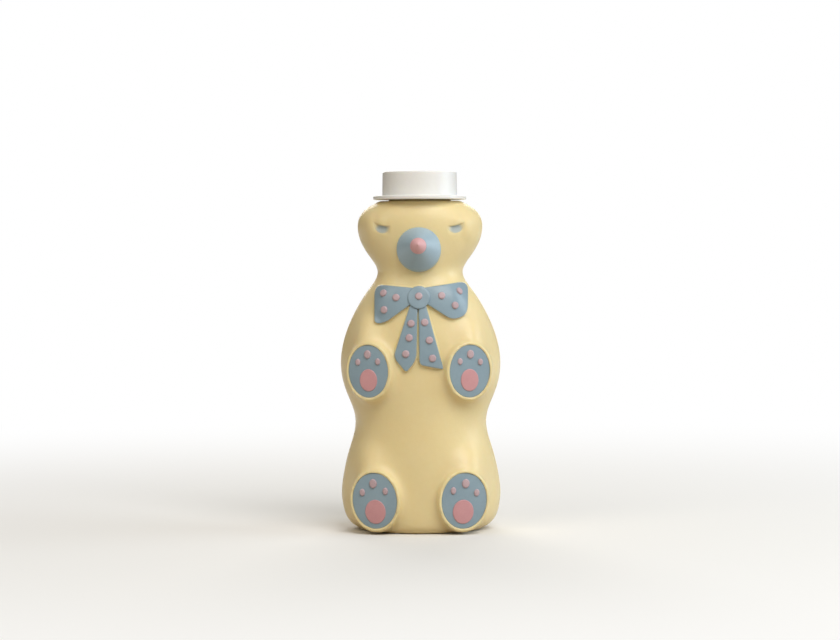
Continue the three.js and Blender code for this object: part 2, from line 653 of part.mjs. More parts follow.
const noseProfile = [
  [0, FIT - NOSE_PEG_LENGTH],
  [NOSE_PEG_RADIUS, FIT - NOSE_PEG_LENGTH],
  [NOSE_PEG_RADIUS, FIT],
  [NOSE_RADIUS, FIT],
  [NOSE_RADIUS * 0.87, NOSE_LENGTH * 0.24],
  [NOSE_RADIUS * 0.62, NOSE_LENGTH * 0.52],
  [NOSE_RADIUS * 0.34, NOSE_LENGTH * 0.76],
  [NOSE_RADIUS * 0.12, NOSE_LENGTH * 0.9],
  [0, NOSE_LENGTH],
];
const nose = turned(noseProfile, NOSE_SEGMENTS).translate([0, 0, coneEnd]).transform(forward.elements);
bottle.add(meshOf("nose", nose, PINK));

for (const [name, side] of [["left_eye", -1], ["right_eye", 1]]) {
  const solid = frontPiece(eyeOutline(side), FIT - EYE_POCKET, FIT - EYE_POCKET + EYE_THICKNESS);
  bottle.add(meshOf(name, solid, BLUE));
}

// Closure: sifter plug, seal disc and the hat that screws down over them
function sifterSolid() {
  const plug = NECK_BORE - FIT;
  const inside = plug - SIFTER_WALL;
  const flange = NECK_RADIUS - SIFTER_FLANGE_INSET;
  const deckTop = SIFTER_TOP - SIFTER_RECESS;
  const deckBottom = deckTop - SIFTER_DECK;
  const flangeBottom = SIFTER_TOP - SIFTER_FLANGE;
  let sifter = turned(
    [
      [0, deckBottom],
      [inside, deckBottom],
      [inside, deckBottom - SIFTER_SKIRT],
      [plug, deckBottom - SIFTER_SKIRT],
      [plug, flangeBottom],
      [flange, flangeBottom],
      [flange, SIFTER_TOP],
      [inside, SIFTER_TOP],
      [inside, deckTop],
      [0, deckTop],
    ],
    PLUG_SEGMENTS,
  );
  for (const { count, radius } of SIFTER_RINGS)
    for (let i = 0; i < count; i++) {
      const angle = (2 * Math.PI * i) / count;
      const hole = cylinder(SIFTER_HOLE, deckBottom - 1, deckTop + 1, HOLE_SEGMENTS);
      sifter = sifter.subtract(hole.translate([radius * Math.cos(angle), radius * Math.sin(angle), 0]));
    }
  return sifter;
}
bottle.add(meshOf("sifter_plug", sifterSolid(), WHITE));

const seal = cylinder(CAP_BORE - FIT, SEAL_BOTTOM, SEAL_BOTTOM + SEAL_THICKNESS, PLUG_SEGMENTS);
bottle.add(meshOf("seal_disc", seal, PULP));

const crownRadius = CAP_BORE + CAP_WALL;
const brimRadius = crownRadius + BRIM_WIDTH;
const hatProfile = [
  [0, CAP_INSIDE],
  [CAP_BORE, CAP_INSIDE],
  [CAP_BORE, CAP_BOTTOM],
  [brimRadius - CAP_EDGE, CAP_BOTTOM],
  [brimRadius, CAP_BOTTOM + CAP_EDGE],
  [brimRadius, CAP_BOTTOM + BRIM_THICKNESS - CAP_EDGE],
  [brimRadius - CAP_EDGE, CAP_BOTTOM + BRIM_THICKNESS],
  [crownRadius, CAP_BOTTOM + BRIM_THICKNESS],
  [crownRadius - CAP_DRAFT, CAP_TOP - CAP_EDGE],
  [crownRadius - CAP_DRAFT - CAP_EDGE, CAP_TOP],
  [0, CAP_TOP],
];
bottle.add(meshOf("hat_cap", turned(hatProfile, HAT_SEGMENTS), WHITE));

export default bottle;
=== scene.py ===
# %% [markdown]
# # A bear-shaped powder bottle, finished in Blender
#
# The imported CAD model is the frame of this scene: it says how large each part is and where it sits. This
# lesson keeps those places and makes the surfaces that a mould and a paint brush leave: soft swellings,
# rounded lips, raised ribbons, a screw thread, and satin plastic.

# %% Load the frame
import math

import bpy
import numpy as np
from mathutils import Matrix, Quaternion, Vector


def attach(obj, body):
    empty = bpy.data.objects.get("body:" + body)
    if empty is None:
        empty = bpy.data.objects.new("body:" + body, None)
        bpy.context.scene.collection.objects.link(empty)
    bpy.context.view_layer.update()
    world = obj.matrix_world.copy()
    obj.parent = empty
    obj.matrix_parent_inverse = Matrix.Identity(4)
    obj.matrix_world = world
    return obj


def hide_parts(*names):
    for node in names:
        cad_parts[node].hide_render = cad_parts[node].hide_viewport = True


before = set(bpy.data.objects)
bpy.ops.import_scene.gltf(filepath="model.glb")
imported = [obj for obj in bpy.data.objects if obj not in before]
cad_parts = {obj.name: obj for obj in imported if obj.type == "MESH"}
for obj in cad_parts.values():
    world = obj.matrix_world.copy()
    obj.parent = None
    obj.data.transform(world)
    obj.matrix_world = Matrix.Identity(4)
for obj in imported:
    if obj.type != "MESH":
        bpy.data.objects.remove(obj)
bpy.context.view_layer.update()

MM = 0.001

# %% [markdown]
# ## Camera
#
# The bottle is seen almost level and from straight in front, through a long lens, so its sides hardly
# converge. The camera could be turned by hand until the bottle fills the frame. Here it is placed on a
# circle round the bottle and pointed at the middle of the picture, so that each angle is one number.

# %% Camera
IMAGE_WIDTH = 840
PIXEL = 0.532 * MM  # size of one picture element at the bottle
SENSOR_WIDTH = 36
TARGET = Vector((-0.00013, 0, 0.1113))
DISTANCE = 1.2
AZIMUTH, ELEVATION, ROLL = (math.radians(angle) for angle in (1.7, 2.0, -0.25))


def deselect():
    bpy.ops.object.select_all(action="DESELECT")


deselect()
away = Vector((
    math.sin(AZIMUTH) * math.cos(ELEVATION),
    -math.cos(AZIMUTH) * math.cos(ELEVATION),
    math.sin(ELEVATION),
))
bpy.ops.object.camera_add(location=TARGET + away * DISTANCE)
camera = bpy.context.object
sight = (-away).to_track_quat("-Z", "Y") @ Quaternion((0, 0, 1), ROLL)
camera.rotation_euler = sight.to_euler()
camera.data.sensor_width = SENSOR_WIDTH
camera.data.lens = SENSOR_WIDTH * DISTANCE / (IMAGE_WIDTH * PIXEL)
bpy.context.scene.camera = camera
print("lens, mm:", round(camera.data.lens, 1))

# %% [markdown]
# ## Floor and light
#
# A large pale floor catches the shadow and fades to white further off, so no horizon shows. A broad lamp
# stands high in front, a cooler one low on the right, a weak warm one on the left and one behind, and the
# warm world fills the rest. Soft, large lamps suit satin plastic, because a small lamp would leave hard
# spots on it.

# %% Node helper
def add_node(tree, kind, settings=None, **inputs):
    """Adds a shader node by its short name, and sets or links its inputs, by name or as n with a number."""
    node = tree.nodes.new("ShaderNode" + kind)
    for key, value in (settings or {}).items():
        setattr(node, key, value)
    for key, value in inputs.items():
        numbered = key[0] == "n" and key[1:].isdigit()
        socket = node.inputs[int(key[1:]) if numbered else key.replace("_", " ")]
        if isinstance(value, bpy.types.NodeSocket):
            tree.links.new(value, socket)
        else:
            socket.default_value = value
    return node


# %% Floor
FLOOR_SIZE = 8
FLOOR_COLOUR = (0.86, 0.855, 0.845, 1)
BOUNCE_COLOUR = (0.52, 0.46, 0.38, 1)  # what it throws back on the bottle, like a table top
FADE_START, FADE_END = 0.12, 0.75  # distances between which it turns white
PURE_WHITE = (1, 1, 1, 1)
deselect()
bpy.ops.mesh.primitive_plane_add(size=FLOOR_SIZE)
floor = bpy.context.object
floor.name = "floor"

paper = bpy.data.materials.new("floor_paper")
paper.use_nodes = True
tree = paper.node_tree
tree.nodes.clear()
place = add_node(tree, "TexCoord")
far = add_node(tree, "VectorMath", {"operation": "LENGTH"}, n0=place.outputs["Object"])
fade = add_node(tree, "MapRange", {"interpolation_type": "SMOOTHSTEP"}, Value=far.outputs["Value"],
                From_Min=FADE_START, From_Max=FADE_END)
path = add_node(tree, "LightPath")
seen = add_node(tree, "Math", {"operation": "MAXIMUM"}, n0=path.outputs["Is Camera Ray"],
                n1=path.outputs["Is Glossy Ray"])
share = add_node(tree, "Math", {"operation": "MULTIPLY"}, n0=fade.outputs["Result"],
                 n1=seen.outputs["Value"])
tone = add_node(tree, "Mix", {"data_type": "RGBA"}, n0=path.outputs["Is Diffuse Ray"],
                n6=FLOOR_COLOUR, n7=BOUNCE_COLOUR)
matt = add_node(tree, "BsdfDiffuse", Color=tone.outputs[2])
white = add_node(tree, "Emission", Color=PURE_WHITE, Strength=1)
mixed = add_node(tree, "MixShader", n0=share.outputs["Value"], n1=matt.outputs["BSDF"],
                 n2=white.outputs["Emission"])
add_node(tree, "OutputMaterial", Surface=mixed.outputs["Shader"])
floor.data.materials.append(paper)
print("floor, m:", FLOOR_SIZE)

# %% World
ROOM_LIGHT = 0.2
ROOM_COLOUR = (1, 0.955, 0.87, 1)
world = bpy.data.worlds.new("pale_room")
bpy.context.scene.world = world
world.use_nodes = True
tree = world.node_tree
tree.nodes.clear()
path = add_node(tree, "LightPath")
room = add_node(tree, "Background", Color=ROOM_COLOUR, Strength=ROOM_LIGHT)
shown = add_node(tree, "Background", Color=PURE_WHITE, Strength=1)
mixed = add_node(tree, "MixShader", n0=path.outputs["Is Camera Ray"],
                 n1=room.outputs["Background"], n2=shown.outputs["Background"])
add_node(tree, "OutputWorld", Surface=mixed.outputs["Shader"])
print("room light:", ROOM_LIGHT)

# %% Lamps
LAMPS = {  # place, width, power in watts, colour
    "key": ((0.5, -0.95, 1.2), 1.0, 15.5, (1, 0.995, 0.98)),
    "side": ((1.25, 0.0, 0.45), 0.8, 6.5, (0.78, 0.9, 1)),
    "fill": ((-0.7, -0.85, 1.1), 0.8, 3.6, (1, 0.9, 0.74)),
    "back": ((-0.1, 1.15, 0.75), 1.0, 9, (1, 0.98, 0.95)),
}
for name, (place, width, power, colour) in LAMPS.items():
    deselect()
    bpy.ops.object.light_add(type="AREA", location=place)
    lamp = bpy.context.object
    lamp.name = name
    lamp.data.size = width
    lamp.data.energy = power
    lamp.data.color = colour
    lamp.rotation_euler = (TARGET - Vector(place)).to_track_quat("-Z", "Y").to_euler()
bpy.context.scene.view_settings.view_transform = "Standard"
print("lamps:", list(LAMPS))

# %% [markdown]
# ## The bear's form in numbers
#
# A bottle mould for such a figure is cut from sections: at each height the body is an oval with a half
# width, a half depth and a set-back. A smooth spline through a few measured sections gives every height
# between them. Arms, thighs, ears, lids, snout and the chest under the bow are gentle domes that push the
# front out, each blended into what is beside it, as a sculptor adds clay. Sculpting would do as well, but
# with a formula every later piece can find the same surface.

# %% Sections
STATIONS = np.array([  # height, half width, half depth, set-back
    (0, 31.3, 25, 0.6), (3.5, 37.3, 28, 1), (9, 40.8, 29.4, 1.6), (18, 42.4, 29.8, 2.2), (30, 41.2, 30, 2.6),
    (40, 39, 30, 2.8), (60, 34.9, 28.2, 2.4), (74, 39.9, 28.4, 2.2), (88, 42.6, 28.5, 2.3),
    (104, 39.9, 27.5, 2.2), (119, 33.1, 24.5, 1.7), (128, 27.2, 21.4, 1), (137, 22.3, 19.2, 0.4),
    (146, 27.4, 21.2, 0.8), (160, 33.1, 23.8, 1.4), (168, 31, 22.6, 1.2), (172, 26.4, 20.6, 0.6),
    (174.6, 21.4, 18.6, 0),
])
NECK_FOOT = STATIONS[-1, 0]


def natural_spline(x, y):
    """A natural cubic spline through the points, as a function."""
    gap = np.diff(x)
    slope = np.diff(y) / gap
    system = np.eye(len(x))
    for i in range(1, len(x) - 1):
        system[i, i - 1:i + 2] = gap[i - 1], 2 * (gap[i - 1] + gap[i]), gap[i]
    bend = np.linalg.solve(system, np.concatenate([[0], 6 * np.diff(slope), [0]]))

    def value(at):
        at = np.clip(at, x[0], x[-1])
        i = np.clip(np.searchsorted(x, at), 1, len(x) - 1)
        a, b = (x[i] - at) / gap[i - 1], (at - x[i - 1]) / gap[i - 1]
        curve = ((a**3 - a) * bend[i - 1] + (b**3 - b) * bend[i]) * gap[i - 1]**2 / 6
        return a * y[i - 1] + b * y[i] + curve
    return value


half_width, half_depth, set_back = (natural_spline(STATIONS[:, 0], STATIONS[:, k]) for k in (1, 2, 3))
print("half width at the waist, mm:", half_width(60.0).round(1))

# %% Swellings
DOMES = {  # place across and up, half widths towards the middle and the side, half height, reach
    "arm": (28.4, 95, 20, 20, 30, 25.6),
    "thigh": (24.5, 28, 24, 22, 28, 27.8),
    "ear": (26.8, 160, 8, 9, 13, 15),
    "lid": (19.4, 163.8, 7, 7, 5.5, 15.5),
    "snout": (0, 149, 24, 24, 20, 19.5),
    "chest": (13, 121, 21, 21, 20, 20),
}
DOME_POWER = 2.5  # above 2, so that a dome's top is broader than a paraboloid's
BLEND = 6  # difference in reach over which two forms run into each other
SIDE_FALL = 10  # power by which the swellings die away towards the sides


def smooth_max(a, b):
    return np.maximum(a, b) + np.maximum(BLEND - np.abs(a - b), 0)**2 / (4 * BLEND)


def swelling(dome, across, height):
    x, z, inner, outer, tall, reach = dome
    wide = np.where(across < x, inner, outer)
    return (1 - np.hypot((across - x) / wide, (height - z) / tall)**DOME_POWER) * reach


def front(x, z):
    """How far forward of the neck's axis the front lies, in millimetres."""
    across = np.abs(x)
    outward = np.minimum(1, across / half_width(z))
    forward = half_depth(z) * np.sqrt(1 - outward**2) - set_back(z)
    for dome in DOMES.values():
        reach = swelling(dome, across, z)
        forward = smooth_max(forward, reach - outward**SIDE_FALL * (reach + 2 * BLEND))
    return forward


print("front at the knot and the belly, mm:", front(0.0, 123.8).round(1), front(0.0, 50.0).round(1))

# %% [markdown]
# ## Hand tools
#
# These short helpers do what the hand does all the time: leave everything unselected, keep one object
# active, apply a modifier, read or write all points of a mesh at once in millimetres, and select edges or
# faces by their place.

# %% Objects and modifiers
def pick(piece):
    deselect()
    piece.select_set(True)
    bpy.context.view_layer.objects.active = piece


def apply_modifier(piece, kind, **settings):
    pick(piece)
    modifier = piece.modifiers.new(kind.title(), kind)
    for key, value in settings.items():
        setattr(modifier, key, value)
    bpy.ops.object.modifier_apply(modifier=modifier.name)


def smooth(piece, rounds, group=""):
    apply_modifier(piece, "SMOOTH", factor=0.5, iterations=rounds, vertex_group=group)


def remesh(piece, voxel):
    apply_modifier(piece, "REMESH", mode="VOXEL", voxel_size=voxel * MM, adaptivity=0)


def add_primitive(operator, name, **settings):
    deselect()
    operator(**settings)
    piece = bpy.context.object
    piece.name = piece.data.name = name
    return piece


# %% Points in millimetres
def points_of(piece):
    flat = np.empty(len(piece.data.vertices) * 3)
    piece.data.vertices.foreach_get("co", flat)
    return flat.reshape(-1, 3) / MM


def set_points(piece, points):
    piece.data.vertices.foreach_set("co", (points * MM).ravel())
    piece.data.update()


# %% Edit mode
def edit(piece, kind="VERT"):
    """Edit mode with everything selected, in vertex, edge or face mode."""
    pick(piece)
    bpy.ops.object.mode_set(mode="EDIT")
    bpy.ops.mesh.select_mode(type=kind)
    bpy.ops.mesh.select_all(action="SELECT")


def leave_edit():
    bpy.ops.object.mode_set(mode="OBJECT")


def edit_edges(piece, wanted):
    """Edit mode with only the edges selected whose two end points pass a test."""
    edit(piece, "EDGE")
    bpy.ops.mesh.select_all(action="DESELECT")
    leave_edit()
    points = points_of(piece)
    for edge in piece.data.edges:
        edge.select = bool(wanted(*(points[i] for i in edge.vertices)))
    bpy.ops.object.mode_set(mode="EDIT")


def edit_faces(piece, wanted):
    """Edit mode with only the faces selected whose centre, in millimetres, passes a test."""
    edit(piece, "FACE")
    bpy.ops.mesh.select_all(action="DESELECT")
    leave_edit()
    for face in piece.data.polygons:
        face.select = bool(wanted(face.center / MM))
    bpy.ops.object.mode_set(mode="EDIT")


# %% [markdown]
# ## The trunk and head
#
# The body starts as a plain cylinder. Its upright edges are subdivided into many rings, and each ring is
# drawn out to the bear's section at its height. A cylinder is chosen because its rings already run the way
# the sections do, so the mesh follows the swellings evenly. The base of a blown bottle is pushed up inside
# its standing ring, so that it can't rock: its face is inset and moved up.

# %% Trunk
RING_POINTS = 160
RING_COUNT = 150


def drawn_cylinder(name, points, rings):
    """A closed cylinder of radius 1 and height 1 on the floor, its sides cut into rings."""
    piece = add_primitive(bpy.ops.mesh.primitive_cylinder_add, name, vertices=points, radius=MM, depth=MM,
                          location=(0, 0, MM / 2), end_fill_type="NGON")
    bpy.ops.object.transform_apply()
    edit_edges(piece, lambda a, b: abs(a[2] - b[2]) > 0.5)
    bpy.ops.mesh.subdivide_edgering(number_cuts=rings, interpolation="LINEAR")
    leave_edit()
    return piece


trunk = drawn_cylinder("shell_moulding", RING_POINTS, RING_COUNT)
unit = points_of(trunk)
height = unit[:, 2] * NECK_FOOT
angle = np.arctan2(unit[:, 0], -unit[:, 1])
x = half_width(height) * np.sin(angle)
back = set_back(height) - half_depth(height) * np.cos(angle)
in_front = np.cos(angle) > 1e-6
set_points(trunk, np.stack([x, np.where(in_front, -front(x, height), back), height], axis=1))
print("trunk points:", len(trunk.data.vertices))

# %% Soft body and hollow base
SOFT_FROM, SOFT_TO, SOFT_ROUNDS = 4, 152, 16
PUSH_UP = 2.4  # hollow under the base
STANDING_RING = 7  # width of the ring that it stands on
soft = trunk.vertex_groups.new(name="soft")
soft.add([i for i, z in enumerate(height) if SOFT_FROM < z < SOFT_TO], 1, "REPLACE")
smooth(trunk, SOFT_ROUNDS, "soft")
edit_faces(trunk, lambda centre: centre[2] < 0.01)
bpy.ops.mesh.inset(thickness=STANDING_RING * MM)
bpy.ops.transform.translate(value=(0, 0, PUSH_UP * MM))
leave_edit()
print("base pushed up, mm:", PUSH_UP)

# %% [markdown]
# ## Hands and feet
#
# Each limb ends in an oval face with a rounded edge and a shallow oval hollow for its painted sole. An oval
# cylinder with a bevelled rim gives the end, and a second one cuts the hollow. The ends could be extruded
# from the trunk, but its rings don't lie where the limbs are, so they are separate blocks, sunk deep in the
# trunk.

# %% Oval blocks and Booleans
def oval_block(name, wide, tall, low, high, points=96):
    """An oval cylinder standing on Z, in millimetres."""
    piece = add_primitive(bpy.ops.mesh.primitive_cylinder_add, name, vertices=points, radius=1, depth=1)
    piece.scale = (wide * MM, tall * MM, (high - low) * MM)
    piece.location = (0, 0, (high + low) / 2 * MM)
    bpy.ops.object.transform_apply()
    return piece


def bevel_level(piece, level, width, segments):
    """Rounds the edge ring that lies at a height."""
    edit_edges(piece, lambda a, b: max(abs(a[2] - level), abs(b[2] - level)) < 1e-3)
    bpy.ops.mesh.bevel(offset=width * MM, segments=segments, profile=0.5, affect="EDGES")
    leave_edit()


def put(piece, matrix):
    """Moves the mesh itself by a matrix in millimetres, so that the object stays at the origin."""
    m = np.array(matrix)
    set_points(piece, points_of(piece) @ m[:3, :3].T + m[:3, 3])


def join_into(piece, others):
    pick(piece)
    for other in others:
        other.select_set(True)
    bpy.ops.object.join()


def cut_or_join(piece, tool, operation):
    """A Boolean with another object, which is used up."""
    apply_modifier(piece, "BOOLEAN", object=tool, operation=operation, solver="MANIFOLD")
    bpy.data.objects.remove(tool)


# %% Limb ends
HAND = {"x": 26.8, "z": 85.5, "wide": 10.9, "tall": 13.75, "reach": 26.2, "splay": 0.035, "turn": 0.3,
        "depth": 15, "flare": 3}
FOOT = {"x": 23.6, "z": 18, "wide": 12.1, "tall": 14.6, "reach": 28.5, "splay": 0.09, "turn": 0.26,
        "depth": 14, "flare": 1}
LIMBS = {"left_hand": (HAND, -1), "right_hand": (HAND, 1), "left_foot": (FOOT, -1), "right_foot": (FOOT, 1)}
RIM, LIMB_FILLET = 2.1, 2.3
LIP = 0.2  # added to the lip, because smoothing takes as much off
SOLE_RECESS, SOLE_THICKNESS = 0.9, 1.4
HOLLOW_ROOM, HOLLOW_FLOOR, HOLLOW_TOP = 0.4, 0.6, 5  # round the sole, below its face, and out of the end


def limb_place(limb, side):
    """The frame of a limb's end face, in millimetres: X across, Y up the sole, Z out of it."""
    turn = Matrix.Rotation(side * limb["turn"], 4, "Z") @ Matrix.Rotation(math.pi / 2, 4, "X")
    roll = Matrix.Rotation(-side * limb["splay"], 4, "Z")
    return Matrix.Translation((side * limb["x"], -limb["reach"], limb["z"])) @ turn @ roll


ends = []
for name, (limb, side) in LIMBS.items():
    end = oval_block(name + "_end", limb["wide"] + RIM, limb["tall"] + RIM, -limb["depth"], LIP)
    bevel_level(end, LIP, LIMB_FILLET, 5)
    points = points_of(end)
    root = points[:, 2] < -limb["depth"] + 1
    points[root, :2] *= 1 + limb["flare"] / limb["wide"]
    set_points(end, points)
    hollow = oval_block(name + "_hollow", limb["wide"] + HOLLOW_ROOM, limb["tall"] + HOLLOW_ROOM,
                        -SOLE_RECESS - HOLLOW_FLOOR, HOLLOW_TOP)
    cut_or_join(end, hollow, "DIFFERENCE")
    put(end, limb_place(limb, side))
    ends.append(end)
join_into(trunk, ends)
print("trunk with limb ends:", len(trunk.data.vertices), "points")

# %% [markdown]
# ## One skin
#
# Blown plastic has no seam between trunk and limbs. A Boolean would leave a sharp crease there, so the
# pieces are remeshed at a fine voxel size, which fuses them into one skin, and a little smoothing turns
# every crease into a soft fillet. Where a limb leaves the trunk, the skin is then smoothed many times more,
# and the limb's face is left alone.

# %% Fuse the skin
VOXEL = 0.9
FUSE_ROUNDS = 10
SIDE_ROOM = 0.998  # draws the sides in, so that the parting line stays in the CAD box
remesh(trunk, VOXEL)
smooth(trunk, FUSE_ROUNDS)
points = points_of(trunk)
points[:, 0] *= SIDE_ROOM
points[:, 2] -= points[:, 2].min()
set_points(trunk, points)
print("skin:", len(trunk.data.polygons), "faces")

# %% Soft skirts round the limbs
SKIRT_ROUNDS, SKIRT_VOXEL = 90, 0.75  # as many rounds as this voxel size would need
SKIRT_LIP = 1.6  # border of a limb's face that keeps its form
# Where the smoothing sets in or stops: outwards from the face, along its depth, above the floor, sideways
RING_START, RING_STOP, DEPTH_START = (1, 1.12), (1.6, 2), (-22, -16)
FLOOR_START, SIDE_STOP = (3, 8), (34, 40)
LEAST_WEIGHT = 0.01


def eased(value, low, high):
    """0 up to low, 1 from high, and a smooth step between them."""
    share = np.clip((value - low) / (high - low), 0, 1)
    return share**2 * (3 - 2 * share)


points = points_of(trunk)
weight = np.zeros(len(points))
for limb, side in LIMBS.values():
    to_limb = np.array(limb_place(limb, side).inverted())
    local = points @ to_limb[:3, :3].T + to_limb[:3, 3]
    ring = np.hypot(local[:, 0] / (limb["wide"] + SKIRT_LIP), local[:, 1] / (limb["tall"] + SKIRT_LIP))
    beside = eased(ring, *RING_START) * (1 - eased(ring, *RING_STOP)) * eased(local[:, 2], *DEPTH_START)
    weight = np.maximum(weight, beside)
weight *= eased(points[:, 2], *FLOOR_START) * (1 - eased(np.abs(points[:, 0]), *SIDE_STOP))
skirt = trunk.vertex_groups.new(name="skirt")
for i in np.flatnonzero(weight > LEAST_WEIGHT):
    skirt.add([int(i)], float(weight[i]), "REPLACE")
rounds = int(SKIRT_ROUNDS * (SKIRT_VOXEL / VOXEL)**2)
smooth(trunk, rounds, "skirt")
print("softened points:", int((weight > LEAST_WEIGHT).sum()), "in", rounds, "rounds")

# %% [markdown]
# ## Drooping lids
#
# The closed eyes lie in shallow dents, deepest under the lid and running out below and to both sides. The
# faces there are subdivided first, because the skin is too coarse for so fine a form, and then the points
# are pressed in by a smooth step across the lid line. A cutter would leave a crisp edge, which soft plastic
# doesn't have.

# %% Drooping lids
EYE = {"x": 19.4, "z": 161.9, "wide": 3.9, "rise": 0.95, "sag": 1.4, "droop": 5.6}
EYE_DEPTH = 1.3
EYE_FIELD_WIDE, EYE_FIELD_TALL, EYE_FIELD_DROP = 6, 5, 2  # the skin round an eye that is made finer
LID_ROUNDS = 6
# Where the dent sets in and dies away: down from the lid line, and outwards as a share of the half width
DENT_START, DENT_STOP, DENT_ENDS = (-0.7, 0.5), (0.6, 5), (0.4, 1.3)


def under_lid(across, height):
    """Depth of the dent, in millimetres: full just under the lid line, fading below it and at its ends."""
    u = (across - EYE["x"]) / EYE["wide"]
    lid_line = EYE["z"] + EYE["rise"] * u - EYE["sag"] * (1 - u**2) / 2
    below = lid_line - height
    upright = eased(below, *DENT_START) * (1 - eased(below, *DENT_STOP))
    return EYE_DEPTH * upright * (1 - eased(np.abs(u), *DENT_ENDS))


def by_the_eye(spot, margin):
    across = abs(abs(spot[0]) - EYE["x"])
    upright = abs(spot[2] - EYE["z"] + EYE_FIELD_DROP)
    return spot[1] < 0 and across < EYE_FIELD_WIDE + margin and upright < EYE_FIELD_TALL + margin


edit_faces(trunk, lambda centre: by_the_eye(centre, 1))
bpy.ops.mesh.subdivide(number_cuts=2)
leave_edit()
lids = trunk.vertex_groups.new(name="lids")
lids.add([i for i, point in enumerate(points_of(trunk)) if by_the_eye(point, 0)], 1, "REPLACE")
smooth(trunk, LID_ROUNDS, "lids")
points = points_of(trunk)
points[:, 1] += np.where(points[:, 1] < 0, under_lid(np.abs(points[:, 0]), points[:, 2]), 0)
set_points(trunk, points)
print("lids pressed, deepest:", EYE_DEPTH, "mm")

# %% [markdown]
# ## Parting line
#
# A blown bottle shows where the two halves of its mould met: a hair-fine raised line up both sides, and a
# short scar under the base where the mould pinched off the tube of soft plastic. A copy of the skin is
# swollen by the line's height, all but a thin slice of it is cut away, and the slice is joined to the skin.
# A bump in the material would be quicker, but it would vanish from the outline.

# %% Parting line
SEAM_PLACE, SEAM_WIDTH, SEAM_HEIGHT = 1.8, 0.6, 0.14
SEAM_START, SEAM_END, SEAM_REACH = 1.5, 176, 60  # from the foot's edge to the neck, and past both sides
SCAR_HALF_LENGTH, SCAR_DROP, SCAR_ROOT = 15, 0.5, 0.8


def copy_of(model, name):
    copied = model.copy()
    copied.data = model.data.copy()
    copied.name = copied.data.name = name
    bpy.context.scene.collection.objects.link(copied)
    return copied


def box_tool(name, low, high):
    """A plain box between two corners, in millimetres."""
    low, high = Vector(low) * MM, Vector(high) * MM
    piece = add_primitive(bpy.ops.mesh.primitive_cube_add, name, size=1)
    piece.scale = high - low
    piece.location = (high + low) / 2
    bpy.ops.object.transform_apply()
    return piece


seam = copy_of(trunk, "parting_line")
apply_modifier(seam, "DISPLACE", strength=SEAM_HEIGHT * MM, mid_level=0)
near, far = SEAM_PLACE - SEAM_WIDTH / 2, SEAM_PLACE + SEAM_WIDTH / 2
seam_slice = box_tool("seam_slice", (-SEAM_REACH, near, SEAM_START), (SEAM_REACH, far, SEAM_END))
cut_or_join(seam, seam_slice, "INTERSECT")
cut_or_join(trunk, seam, "UNION")
scar = box_tool("pinch_off", (-SCAR_HALF_LENGTH, near, PUSH_UP - SCAR_DROP),
                (SCAR_HALF_LENGTH, far, PUSH_UP + SCAR_ROOT))
cut_or_join(trunk, scar, "UNION")
print("with parting line:", len(trunk.data.polygons), "faces")

# %% [markdown]
# ## Neck with its thread
#
# The neck is turned: half its section is drawn point by point, starting from a plane merged into one
# vertex, and spun round the axis. A small wedge wound up by the Screw modifier gives the thread, with the
# lead of 5 mm that the cap climbs at each turn. It is joined to the shell by a Boolean, so neck and body
# are one moulding.

# %% Turned pieces
def curve_points(a, b, c, count):
    """Points of a quadratic curve from a to c that is pulled towards b."""
    t = np.linspace(0, 1, count)[:, None]
    return (1 - t)**2 * a + 2 * t * (1 - t) * b + t**2 * c


def rounded_outline(corners, centre_z=0, steps=7):
    """Corners (x, z, rounding) joined by straight edges, each corner with a rounding rounded off."""
    spots = np.array([(x, z + centre_z) for x, z, _ in corners])
    outline = []
    for i, (_, _, rounding) in enumerate(corners):
        here = spots[i]
        first, last = (here + rounding * (other - here) / np.linalg.norm(other - here)
                       for other in (spots[i - 1], spots[(i + 1) % len(spots)]))
        outline.extend(curve_points(first, here, last, steps if rounding else 1))
    return np.array(outline)


def recalculate(piece):
    edit(piece)
    bpy.ops.mesh.remove_doubles(threshold=1e-6)
    bpy.ops.mesh.normals_make_consistent(inside=False)
    leave_edit()


def turned_piece(name, corners, steps=96):
    """Draws half a section, with corners (radius, height, rounding) in millimetres, and spins it round Z."""
    piece = add_primitive(bpy.ops.mesh.primitive_plane_add, name, size=MM)
    edit(piece)
    bpy.ops.mesh.merge(type="CENTER")
    here = Vector((0, 0, 0))
    for i, (radius, height) in enumerate(rounded_outline(corners)):
        goal = Vector((radius * MM, 0, height * MM))
        if i == 0:
            bpy.ops.transform.translate(value=goal)
        else:
            bpy.ops.mesh.extrude_vertices_move(TRANSFORM_OT_translate={"value": goal - here})
        here = goal
    bpy.ops.mesh.select_all(action="SELECT")
    bpy.ops.mesh.spin(steps=steps, angle=2 * math.pi, center=(0, 0, 0), axis=(0, 0, 1))
    leave_edit()
    recalculate(piece)
    return piece


# %% Threads
LEAD = 5
STEPS_A_TURN = 64
RUN_OUT = 8  # a thread rises from the wall within one eighth of its length
RUN_OUT_LEAST = 0.02  # and starts at this share of its height, so that its end can be filled


